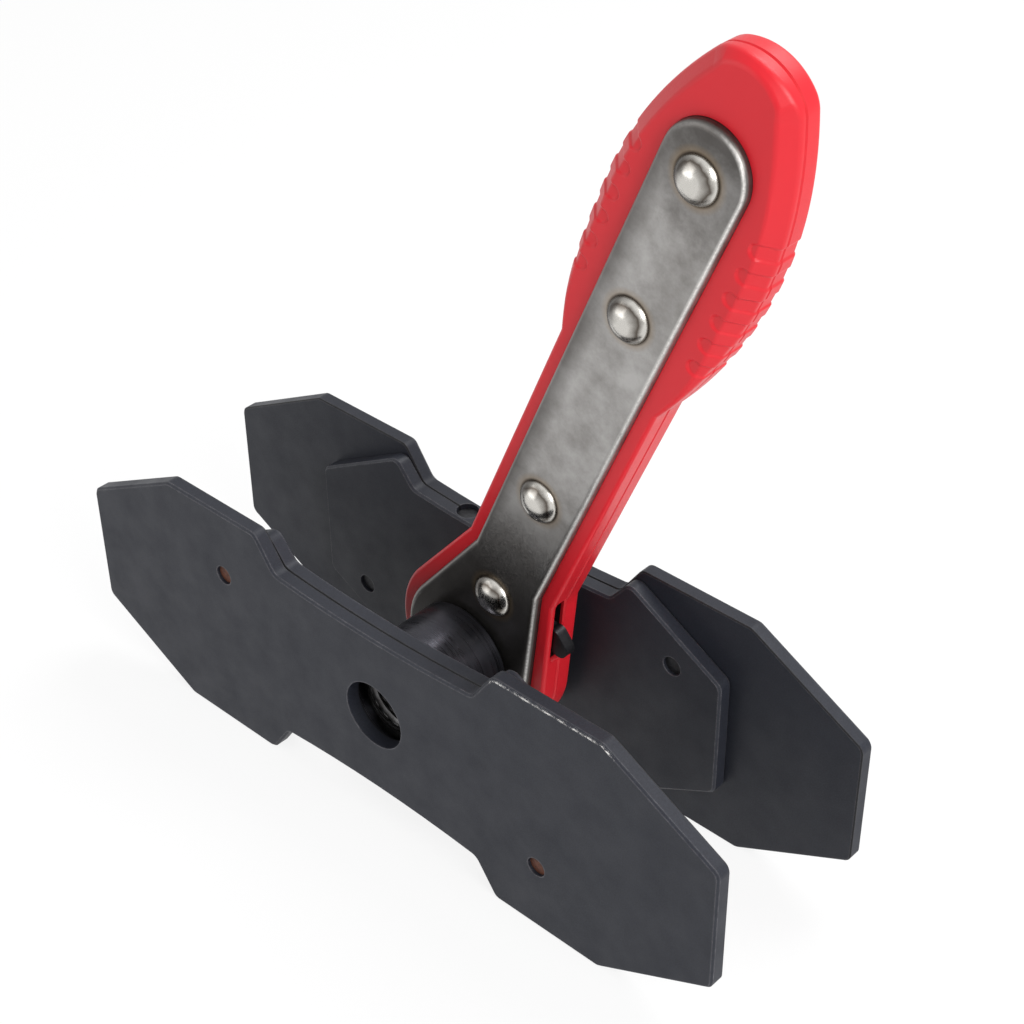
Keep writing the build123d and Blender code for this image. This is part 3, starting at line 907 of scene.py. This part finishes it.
@dataclass(frozen=True)
class MouldedGrip(Finish):
    """Injection-moulded nylon, dyed red: satin skin, faint flow clouds and fine mould grain."""

    name: str = "moulded_red_nylon"
    colour: str = "#cd1e29"
    roughness: float = 0.38
    gloss: Point = (0.04, 0.05)
    bump: Point = (0.12, 0.03)
    flow: str = "#c11a25"
    # Near black: painted shade in the pawl's cavity.
    cavity_shade: str = "#16090a"
    flow_mm: float = 12.0
    grain_mm: float = 0.3
    wall_mm: float = 1.0
    cavity_half: float = 3.2
    cavity_span: Point = (7.0, 34.0)

    def make(self, axes: HandleAxes, outline: Outline) -> Material:
        """Build the material, with its flow clouds along the handle and painted shade, near black, in its
        cavity.

        Args:
            axes: The handle's axes.
            outline: The moulding's outline, whose flare the cavity keeps inside.

        Returns:
            The material.
        """
        net = self.begin()
        turned = net.add("Mapping", {"Vector": net.where, "Rotation": (0.0, -axes.tilt, 0.0)})
        drawn = net.add("Mapping", {"Vector": turned, "Scale": (1.0, 1.0, 0.3)})
        flow = net.add("TexNoise", {"Vector": drawn, "Scale": 1 / self.flow_mm, "Detail": 3.0})
        grain = net.add("TexNoise", {"Vector": turned, "Scale": 1 / self.grain_mm, "Detail": 2.0})
        inside = self.cavity(net, turned, axes.parting, outline)
        shade = net.layered(linear(self.colour), (flow, self.flow), (inside, self.cavity_shade))
        return self.end(net, shade, grain, grain, {"IOR": 1.53, "Specular IOR Level": 0.3})

    def cavity(self, net: Net, turned: Socket, parting: float, outline: Outline) -> Socket:
        """Mask of the pawl's cavity behind the lever's slot, which is painted near black as shade.

        It holds near the parting plane, between two heights, and where the distance along the
        flare's normal stays a wall's thickness short of the flare.

        Args:
            net: The material's nodes.
            turned: Coordinates on the handle, in millimetres.
            parting: Height of the parting plane along Y.
            outline: The moulding's outline.

        Returns:
            The mask, zero or one.
        """
        across, along = outline.flare_normal()
        mirrored = net.add("VectorMath", {0: turned}, operation="ABSOLUTE")
        reach = net.add("VectorMath", {0: mirrored, 1: (across, 0.0, along)},
                        operation="DOT_PRODUCT")
        short = net.add("Math", {0: reach, 1: outline.head - self.wall_mm}, operation="LESS_THAN")
        inside = net.in_box(turned, {"Y": (parting - self.cavity_half, parting + self.cavity_half),
                                     "Z": self.cavity_span})
        return net.combined("MULTIPLY", inside, short)


# ---- the handle's pieces ----


class Half(Enum):
    """Which half of the handle a moulding is; the value turns its depth from the parting plane."""

    NEAR = -1
    FAR = 1


def smooth_step(value: np.ndarray) -> np.ndarray:
    """Rise from 0 to 1 as s^2 (3 - 2 s), where s is the value held between 0 and 1."""
    share = np.clip(value, 0, 1)
    return share ** 2 * (3 - 2 * share)


@dataclass
class Grip:
    """The two red mouldings: flat faces, wide bevels, finger grooves and a pocket for the steel.

    The surface runs from the plate's pocket, across the face, over the rounded crease, down the
    bevel and the side, and in at the parting chamfer. Each row belongs to one outline point.
    """

    axes: HandleAxes
    half: Half
    thickness: float = 4.3
    pocket: float = 0.5
    pocket_clearance: float = 0.08
    neck_rim: float = 0.9
    grip_rim: float = 1.2
    end_rim: float = 1.7
    rim_heights: tuple[float, float, float, float] = (93.0, 103.0, 146.0, 162.0)
    bevel_angle: float = 46.0
    bevel_inset: float = 2.95
    bevel_start: float = 99.0
    bevel_full: float = 124.0
    bevel_top_share: float = 0.25
    chamfer: float = 0.35
    crease_gap: float = 0.05
    groove_count: int = 6
    groove_start: float = 109.5
    groove_pitch: float = 5.9
    groove_half: float = 1.75
    groove_wall: float = 0.55
    groove_depth: float = 0.5
    groove_outer_share: float = 0.6
    groove_inner: float = 12.6
    groove_reach: float = 3.5
    hub_radius: float = 14.3
    room_depth: float = 3.0
    room: tuple[Point, ...] = ((-17.2, 6.0), (17.2, 6.0), (10.1, 29.5), (-10.1, 29.5))
    slot_inner: float = 8.0
    slot_span: Point = (14.8, 31.4)
    slot_depth: float = 3.1
    past: float = 1.0
    smooth_degrees: float = 32.0
    face_columns: int = 26
    arc_columns: int = 7
    bevel_columns: int = 16
    side_columns: int = 4
    outline: Outline = Outline(20.7, 12.45, 30.0, 18.3, (8.8, 164.38), 167.68)
    plate: Outline = Outline(17.3, 9.2, 31.0, 9.2, (9.2, 145.3), 154.5)

    def rim_radius(self, along: np.ndarray) -> np.ndarray:
        """Radius of the rounded rim: small on the neck, larger on the grip and softest at its end."""
        radii = [self.neck_rim, self.grip_rim, self.grip_rim, self.end_rim]
        return np.interp(along, self.rim_heights, radii)

    def bevel(self, edge: np.ndarray, normal: np.ndarray, plain: np.ndarray) -> np.ndarray:
        """Inset of the bevel's upper edge at each outline point.

        It is the rounded rim's own inset on the neck. It grows as a smooth step up the bulge, and
        shrinks again where the outline turns towards the top.

        Args:
            edge: Outline points, shaped (rows, 2).
            normal: Their outward normals.
            plain: Insets at which the rim is a plain quarter circle, shaped (rows, 1).

        Returns:
            Insets shaped (rows, 1).
        """
        share = smooth_step((edge[:, 1] - self.bevel_start) / (self.bevel_full - self.bevel_start))
        upward = np.clip(normal[:, 1], 0, 1) ** 3
        share = share * (1 - (1 - self.bevel_top_share) * upward)
        return plain + np.maximum(self.bevel_inset - plain, 0) * share[:, None]

    def groove_strength(self, across: np.ndarray, along: np.ndarray) -> np.ndarray:
        """Depth of the finger grooves at a place.

        Each groove is a level slot with a round inner end and a flat floor. Its wall falls from
        the slot's border inward as a smooth step. The floor is deepest at the inner end.

        Args:
            across: Places across the handle.
            along: Places along the handle.

        Returns:
            The depths.
        """
        number = np.round((along - self.groove_start) / self.groove_pitch)
        number = np.clip(number, 0, self.groove_count - 1)
        rise = along - self.groove_start - number * self.groove_pitch
        inward = np.maximum(self.groove_inner + self.groove_half - across, 0)
        inside = self.groove_half - np.hypot(rise, inward)
        inner = 1 - np.clip((across - self.groove_inner) / self.groove_reach, 0, 1)
        floor = self.groove_outer_share + (1 - self.groove_outer_share) * inner
        return self.groove_depth * floor * smooth_step(inside / self.groove_wall)

    def right_half(self) -> np.ndarray:
        """Surface of the right half, in (across, depth below the face, along).

        Columns run over the pocket's wall, the face, an arc, the bevel, another arc, the side and
        the parting chamfer. The grooves then move each point against the surface's own normal.
        With t the bevel's angle and r the arcs' radius, the first arc starts r tan(t / 2) inside
        the bevel's upper edge. The second ends r tan(45 degrees - t / 2) below its lower edge. A
        bevel that is only as long as both leads leaves a plain quarter circle.

        Returns:
            Points shaped (rows, columns, 3).
        """
        edge, normal = self.outline.trace()
        inner, _ = self.plate.grown(self.pocket_clearance).trace()
        angle = math.radians(self.bevel_angle)
        radius = self.rim_radius(edge[:, 1])[:, None]
        lead = radius * math.tan(angle / 2)
        trail = radius * math.tan(math.pi / 4 - angle / 2)
        inset = self.bevel(edge, normal, (lead + trail) * math.cos(angle))
        low = inset * math.tan(angle) + trail
        flat_end = edge - normal * (inset + lead + self.crease_gap)
        share = np.linspace(0, 1, self.face_columns)[None, :, None]
        face = inner[:, None] + (flat_end - inner)[:, None] * share
        face = np.dstack([face[..., 0], np.zeros(face.shape[:2]), face[..., 1]])
        first = np.linspace(0, angle, self.arc_columns)[None, :]
        second = np.linspace(angle, math.pi / 2, self.arc_columns)[None, :]
        upper = self.beside_edge(edge, normal, inset + lead - radius * np.sin(first),
                                 radius * (1 - np.cos(first)))
        lower = self.beside_edge(edge, normal, radius * (1 - np.sin(second)), low - radius * np.cos(second))
        between = np.linspace(0, 1, self.bevel_columns)[None, 1:-1, None]
        slope = upper[:, -1:] + (lower[:, :1] - upper[:, -1:]) * between
        down = np.linspace(0, 1, self.side_columns)[None, 1:]
        side_depth = low + (self.thickness - self.chamfer - low) * down
        side = self.beside_edge(edge, normal, 0 * side_depth, side_depth)
        points = np.concatenate([face, upper, slope, lower, side], axis=1)
        turns = [np.zeros(share.size), first[0], np.full(between.size, angle), second[0],
                 np.full(side_depth.shape[1], math.pi / 2)]
        tilt = np.broadcast_to(np.concatenate(turns), points.shape[:2])
        normals = np.dstack([normal[:, :1] * np.sin(tilt), -np.cos(tilt), normal[:, 1:] * np.sin(tilt)])
        depth = self.groove_strength(points[..., 0], points[..., 2])
        points = points - normals * depth[..., None]
        wall = face[:, :1] + np.array([0, self.pocket, 0])
        foot = points[:, -1:] + np.array([0, self.chamfer, 0])
        foot[..., [0, 2]] -= normal[:, None] * self.chamfer
        return np.concatenate([wall, points, foot], axis=1)

    @staticmethod
    def beside_edge(edge: np.ndarray, normal: np.ndarray, inset: np.ndarray, depth: np.ndarray) -> np.ndarray:
        """Points at an inset from the outline and a depth below the face."""
        flat = edge[:, None] - normal[:, None] * inset[..., None]
        return np.dstack([flat[..., 0], depth, flat[..., 1]])

    def build(self) -> bpy.types.Object:
        """Build the moulding, closed across its pocket and its parting face.

        Returns:
            The piece, not yet riding on a body.
        """
        right = self.right_half()
        left = right * np.array([-1, 1, 1])
        share = np.linspace(0, 1, 3)[None, :, None]
        closing = [left[:, [at]] + (right[:, [at]] - left[:, [at]]) * share for at in (0, -1)]
        patches = [Patch(self.to_frame(sheet)) for sheet in (right, left, *closing)]
        name = self.half.name.lower() + "_grip_shell"
        piece = add_object(name, mesh_from_patches(name, patches))
        cut_away(piece, self.waste())
        smooth_below(piece.data, self.smooth_degrees)
        return piece

    def to_frame(self, sheet: np.ndarray) -> np.ndarray:
        """Carry a sheet to the frame's axes, in front of or behind the parting plane."""
        depth = self.axes.parting + self.half.value * (self.thickness - sheet[..., 1])
        return self.axes.place(sheet[..., 0], depth, sheet[..., 2])

    def waste(self) -> list[Patch]:
        """Waste shapes: the gear's room, and in the near half the direction lever's slot."""
        parting, side = self.axes.parting, self.half.value
        start = parting - side * self.past
        ends = sorted([start, parting + side * (self.thickness + self.past)])
        floor = sorted([start, parting + side * self.room_depth])
        waste = [lathe([0, self.hub_radius, self.hub_radius, 0], np.repeat(ends, 2)),
                 self.axes.prism(self.room, floor)]
        if self.half is Half.NEAR:
            inner, outer = self.slot_inner, self.outline.head + 2 * self.past
            low, high = self.slot_span
            corners = ((inner, low), (outer, low), (outer, high), (inner, high))
            waste.append(self.axes.prism(corners, (parting - self.slot_depth, parting + self.past)))
        return waste


@dataclass(frozen=True)
class Rivet:
    """A through rivet with a peened dome in front, a shank and a low tail behind."""

    dome_radius: float = 4.6
    dome_rim: float = 0.35
    dome_rise: float = 2.35
    tail_radius: float = 4.2
    tail_rim: float = 0.25
    tail_rise: float = 0.75
    shank_radius: float = 2.6
    rows: int = 26
    smooth_degrees: float = 40.0

    def patch(self, centre: Point, front: float, back: float) -> Patch:
        """Turn the rivet's profile round its axis.

        With s the share of its radius, the dome stands rim + rise (1 - s^2.3)^0.85 above its
        plate, and the tail rim + rise (1 - s^2)^0.8.

        Args:
            centre: X and Z of its axis.
            front: Height along Y of the near plate's face.
            back: Height along Y of the far plate's face.

        Returns:
            The closed grid.
        """
        share = np.linspace(0, 1, self.rows)
        dome = front - self.dome_rim - self.dome_rise * (1 - share ** 2.3) ** 0.85
        tail = back + self.tail_rim + self.tail_rise * (1 - share[::-1] ** 2) ** 0.8
        shank = [self.dome_radius, self.shank_radius, self.shank_radius, self.tail_radius]
        radii = np.concatenate([self.dome_radius * share, shank, self.tail_radius * share[::-1]])
        return lathe(radii, np.concatenate([dome, [front, front, back, back], tail]), centre)


@dataclass
class Handle:
    """Ratchet handle: steel side plates, red mouldings, rivets, and the pawl's spring."""

    frame: Frame
    axes: HandleAxes
    wire: float = 0.3
    coil_radius: float = 1.5
    coil_length: float = 6.0
    coils: int = 7
    coil_steps: int = 24
    wire_steps: int = 10
    coil_degrees: float = 50.0

    def build(self) -> None:
        """Build and dress every piece of the handle."""
        grips = [Grip(self.axes, Half.NEAR),
                 Grip(self.axes, Half.FAR, bevel_inset=0.0, grip_rim=0.9, neck_rim=0.7, end_rim=1.2)]
        red = MouldedGrip().make(self.axes, grips[0].outline)
        for grip in grips:
            node = grip.half.name.lower() + "_handle_shell"
            finish_piece(grip.build(), red, "handle", node)
        faces = box_mm("near_side_plate")[0].y, box_mm("far_side_plate")[1].y
        nodes = [f"handle_rivet_{number}" for number in range(1, 5)]
        middles = [sum(box_mm(node), Vector()) / 2 for node in nodes]
        centres = [(middle.x, middle.z) for middle in middles]
        rivet, bright = Rivet(), RivetSteel().make(self.axes, centres)
        for number, (node, centre) in enumerate(zip(nodes, centres), start=1):
            piece = add_piece(f"domed_rivet_{number}", [rivet.patch(centre, *faces)], rivet.smooth_degrees)
            finish_piece(piece, bright, "handle", node)
        dress(self.frame, ["near_side_plate", "far_side_plate"], NickelPlate().make(self.axes, centres))
        self.build_spring()

    def build_spring(self) -> None:
        """Wind the detent spring in place of its sleeve.

        The wire's centre goes round the spring's axis at a fixed radius and climbs evenly; a ring
        of points is set round it in the plane of the radial and the axial direction.
        """
        middle = sum(box_mm("detent_spring"), Vector()) / 2
        along = middle.x * math.sin(self.axes.tilt) + middle.z * math.cos(self.axes.tilt)
        turn = np.linspace(0, 2 * np.pi * self.coils, self.coil_steps * self.coils + 1)[:, None]
        ring = np.linspace(0, 2 * np.pi, self.wire_steps + 1)[None, :]
        reach = self.coil_radius + self.wire * np.cos(ring)
        climb = (self.coil_length - 2 * self.wire) * (turn / turn[-1] - 0.5)
        depth = self.axes.parting + reach * np.sin(turn)
        tube = self.axes.place(reach * np.cos(turn), depth, along + climb + self.wire * np.sin(ring))
        caps = [np.stack([tube[at], np.broadcast_to(tube[at, :-1].mean(0), tube[at].shape)], 1)
                for at in (0, -1)]
        coil = add_piece("detent_coil", [Patch(sheet) for sheet in (tube, *caps)], self.coil_degrees)
        steel = TurnedSteel(name="spring_wire", roughness=0.25).make()
        finish_piece(coil, steel, "handle", "detent_spring")


# ---- turned and threaded pieces ----


class Hand(Enum):
    """Hand of a thread: the sign with which its crest climbs as it goes round."""

    RIGHT = 1
    LEFT = -1


@dataclass(frozen=True)
class Thread:
    """A screw thread of trapezoid form, which dies away over a runout at both ends."""

    hand: Hand
    pitch: float = 2.0
    depth: float = 1.0
    flank_slope: float = 2.6
    crest_share: float = 0.15
    runout: float = 1.5

    def radii(self, crest: float, heights: np.ndarray) -> np.ndarray:
        """Radius of an external thread at each angle and height.

        With p the height over the pitch, less the turns gone round, the groove's depth is a
        clipped triangle wave of p. It dies away towards both ends.

        Args:
            crest: Radius of the crests.
            heights: Heights along the axis.

        Returns:
            Radii shaped (angles, heights).
        """
        turns = np.linspace(0, 1, TURN_STEPS, endpoint=False)[:, None]
        phase = (heights[None, :] / self.pitch - self.hand.value * turns) % 1
        wave = np.clip(np.abs(phase - 0.5) * self.flank_slope - self.crest_share, 0, 1)
        ends = np.minimum(heights - heights[0], heights[-1] - heights)
        return crest - self.depth * wave * np.clip(ends / self.runout, 0, 1)[None, :]


@dataclass
class Drive:
    """Hollow drive screw with its ratchet gear, and the far jaw's threaded stud that runs in it."""

    frame: Frame
    axes: HandleAxes
    screw_radius: float = 10.0
    bore_radius: float = 7.05
    gear_radius: float = 13.5
    gear_inner: float = 9.0
    gear_half: float = 2.8
    tooth_depth: float = 1.5
    tip_share: float = 0.28
    root_share: float = 0.62
    teeth: int = 20
    tooth_steps: int = 12
    rows_per_mm: int = 10
    bore_rows_per_mm: int = 8
    stud_radius: float = 7.0
    flange_radius: float = 15.0
    smooth_degrees: float = 30.0

    def gear_rim(self) -> np.ndarray:
        """Gear radius at each angle: a clipped triangle wave that peaks on every tooth's middle."""
        turns = np.arange(self.teeth * self.tooth_steps) / self.tooth_steps
        wave = np.abs((turns + 0.5) % 1 - 0.5) * 2
        share = np.clip((self.root_share - wave) / (self.root_share - self.tip_share), 0, 1)
        return self.gear_radius - self.tooth_depth * (1 - share)

    def build(self) -> None:
        """Build the drive screw and the stud, and dress the thrust rings."""
        oiled = TurnedSteel(name="oiled_turned_steel").make()
        low, high = box_mm("drive_screw")
        front, back = low.y, high.y
        gear_front, gear_back = self.axes.parting - self.gear_half, self.axes.parting + self.gear_half
        outside = np.linspace(front, gear_front, int((gear_front - front) * self.rows_per_mm))
        bore = np.linspace(front, back, int((back - front) * self.bore_rows_per_mm))
        bore_radii = 2 * self.bore_radius - Thread(Hand.LEFT).radii(self.bore_radius, bore)
        rim = self.gear_rim()
        inner = np.full_like(rim, self.gear_inner)
        screw = add_piece("drive_screw_threaded", [
            lathe(Thread(Hand.RIGHT).radii(self.screw_radius, outside), outside),
            lathe(bore_radii, bore),
            lathe([self.bore_radius, self.screw_radius], [front, front]),
            lathe([self.bore_radius, self.screw_radius], [back, back]),
            lathe([self.screw_radius, self.screw_radius], [gear_front, back]),
            lathe(np.stack([inner, rim, rim, inner, inner], -1),
                  [gear_front, gear_front, gear_back, gear_back, gear_front], turn=self.axes.tilt),
        ], self.smooth_degrees)
        finish_piece(screw, oiled, "drive", "drive_screw")
        self.build_stud(oiled)
        dress(self.frame, ["near_thrust_ring", "far_thrust_ring"], oiled)

    def build_stud(self, steel: Material) -> None:
        """Cut the thread on the far jaw's stud, whose flange fills the inner plate's hole.

        Args:
            steel: The stud's material.
        """
        low, high = box_mm("far_jaw_stud")
        tip, back = low.y, high.y
        plate = box_mm("far_jaw_inner_plate")[0].y
        shaft = np.linspace(tip, plate, int((plate - tip) * self.rows_per_mm))
        stud = add_piece("far_stud_threaded", [
            lathe(Thread(Hand.LEFT).radii(self.stud_radius, shaft), shaft),
            lathe([0, self.stud_radius], [tip, tip]),
            lathe([self.stud_radius, self.flange_radius, self.flange_radius, 0], [plate, plate, back, back]),
        ], self.smooth_degrees)
        finish_piece(stud, steel, "far_jaw", "far_jaw_stud")


# ---- pieces that keep their CAD meshes ----


@dataclass
class Jaws:
    """The two pairs of black plates with their pins, and the near jaw's turned collar."""

    frame: Frame

    def dress(self) -> None:
        """Give each plate, pin and the collar its finish."""
        plates = [f"{side}_jaw_{layer}_plate" for side in ("near", "far") for layer in ("outer", "inner")]
        seams = [box_mm("near_jaw_inner_plate")[0].y, box_mm("far_jaw_outer_plate")[0].y]
        dress(self.frame, plates, BlackPlate().make(seams))
        blacked = TurnedSteel(name="blacked_turned_steel", colour="#46464c", roughness=0.3,
                              stained="#38383d", metallic=0.95, stain_mm=12.0)
        dress(self.frame, ["near_jaw_collar"], blacked.make())
        brown = TurnedSteel(name="rusted_pin_steel", colour="#6b3f2c", roughness=0.6,
                            stained="#2e1d17", metallic=0.4, stain_mm=1.5)
        dark = TurnedSteel(name="dark_pin_steel", colour="#3a3a3d", roughness=0.5,
                           stained="#1c1c1e", metallic=0.6, stain_mm=1.5)
        pins = [name for name in self.frame["nodes"] if "_pin_" in name]
        rusty = [name for name in pins if name.startswith("near_jaw_plate")]
        dress(self.frame, rusty, brown.make())
        dress(self.frame, [name for name in pins if name not in rusty], dark.make())


@dataclass
class PawlAndDetent:
    """The double pawl with its direction lever, and the plunger behind it."""

    frame: Frame

    def dress(self) -> None:
        """Give the pawl and the plunger their finishes."""
        black = TurnedSteel(name="black_oxide_steel", colour="#27272a", roughness=0.38,
                            stained="#151517", metallic=0.5, stain_mm=3.0)
        dress(self.frame, ["direction_pawl"], black.make())
        dress(self.frame, ["detent_plunger"], TurnedSteel(name="ground_pin_steel", roughness=0.28).make())


def dress(frame: Frame, nodes: list[str], material: Material) -> None:
    """Give one material to several CAD nodes.

    Args:
        frame: The loaded frame.
        nodes: Names of the nodes.
        material: Their material.
    """
    for node in nodes:
        slots = frame["nodes"][node].data.materials
        slots.clear()
        slots.append(material)
        LOG.info("dressed %s in %s", node, material.name)


def finish_piece(piece: bpy.types.Object, material: Material, body: str, node: str) -> None:
    """Dress a new piece, let it ride on a body and let it stand for a CAD node.

    Args:
        piece: The piece.
        material: Its material.
        body: The CAD body that it moves with.
        node: The CAD node that it replaces.
    """
    piece.data.materials.clear()
    piece.data.materials.append(material)
    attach(piece, body)
    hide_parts(node)
    LOG.info("built %s for %s: %d faces", piece.name, node, len(piece.data.polygons))


# ---- studio ----


@dataclass
class Studio:
    """Pale floor, soft lamps, even world and the camera, in metres and degrees."""

    azimuth: float = 43.14
    elevation: float = 36.19
    roll: float = -0.71
    target: Triple = (0.03078, 0.010, 0.06204)
    distance: float = 0.38455
    lens: float = 73.08
    sensor: float = 36.0
    floor_size: float = 6.0
    floor_colour: str = "#f4f4f4"
    floor_glow: float = 0.85
    unseen_sky: float = 0.4

    def build(self) -> None:
        """Set up everything round the object."""
        bpy.context.scene.view_settings.view_transform = "Standard"
        self.build_camera()
        self.build_floor()
        self.build_world()
        self.add_lamp("key", (0.80, -0.15, 0.55), 0.5, 8.0)
        self.add_lamp("fill", (-0.6, -0.8, 0.4), 0.8, 3.0)
        self.add_lamp("top", (0.1, 0.45, 0.8), 0.5, 5.0)

    def build_camera(self) -> None:
        """Aim the camera at its target from an azimuth, an elevation and a distance."""
        azimuth, elevation, roll = (math.radians(a) for a in (self.azimuth, self.elevation, self.roll))
        right = Vector((math.cos(azimuth), math.sin(azimuth), 0))
        away = Vector((math.sin(azimuth), -math.cos(azimuth), 0))
        back = away * math.cos(elevation) + Vector((0, 0, math.sin(elevation)))
        up = back.cross(right)
        side = right * math.cos(roll) + up * math.sin(roll)
        top = up * math.cos(roll) - right * math.sin(roll)
        data = bpy.data.cameras.new("camera")
        data.lens = self.lens
        data.sensor_width = self.sensor
        data.clip_start = 0.01
        camera = add_object("camera", data)
        turned = Matrix((side, top, back)).transposed().to_4x4()
        camera.matrix_world = Matrix.Translation(Vector(self.target) + back * self.distance) @ turned
        bpy.context.scene.camera = camera

    def build_floor(self) -> None:
        """Lay a pale floor under the object that shows white to the camera but keeps a soft shadow."""
        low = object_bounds()[0].z / MM
        half = self.floor_size / 2 / MM
        corners = np.array([[[x, y, low] for y in (-half, half)] for x in (-half, half)])
        floor = add_object("studio_floor", mesh_from_patches("studio_floor", [Patch(corners)]))
        material = bpy.data.materials.new("pale_floor")
        net = Net(material)
        matt = net.add("BsdfDiffuse", {"Color": linear(self.floor_colour)})
        white = net.add("Emission", {"Color": WHITE})
        share = net.add("Math", {0: seen_ray(net), 1: self.floor_glow}, operation="MULTIPLY")
        mixed = net.add("MixShader", {0: share, 1: matt, 2: white})
        net.add("OutputMaterial", {"Surface": mixed})
        floor.data.materials.append(material)
        floor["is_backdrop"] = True

    def build_world(self) -> None:
        """White to the eye and in reflections, a plain even light for everything else."""
        world = bpy.data.worlds.new("studio_world")
        net = Net(world)
        strength = net.add("MapRange", {"Value": seen_ray(net), "To Min": self.unseen_sky})
        net.add("OutputWorld", {"Surface": net.add("Background", {"Color": WHITE, "Strength": strength})})
        bpy.context.scene.world = world

    def add_lamp(self, name: str, place: Triple, size: float, power: float) -> None:
        """Hang a square soft lamp that faces the object.

        Args:
            name: The lamp's name.
            place: Where it hangs, in metres.
            size: Length of its side, in metres.
            power: Its power in watts.
        """
        data = bpy.data.lights.new(name, "AREA")
        data.size = size
        data.energy = power
        lamp = add_object(name, data)
        toward = Vector(place) - Vector(self.target)
        turned = toward.to_track_quat("Z", "Y").to_matrix().to_4x4()
        lamp.matrix_world = Matrix.Translation(place) @ turned


def seen_ray(net: Net) -> Socket:
    """One for rays from the camera, by reflection or through glass, and zero for the rest."""
    rays = net.add("LightPath").node.outputs
    return net.combined("MAXIMUM", *(rays[f"Is {kind} Ray"] for kind in ("Camera", "Glossy", "Transmission")))


def main() -> None:
    """Build and dress the whole press."""
    logging.basicConfig(level=logging.INFO, format="%(message)s")
    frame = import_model()
    axes = read_axes(frame)
    Jaws(frame).dress()
    Drive(frame, axes).build()
    Handle(frame, axes).build()
    PawlAndDetent(frame).dress()
    Studio().build()
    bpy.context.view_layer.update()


if __name__ == "__main__":
    main()
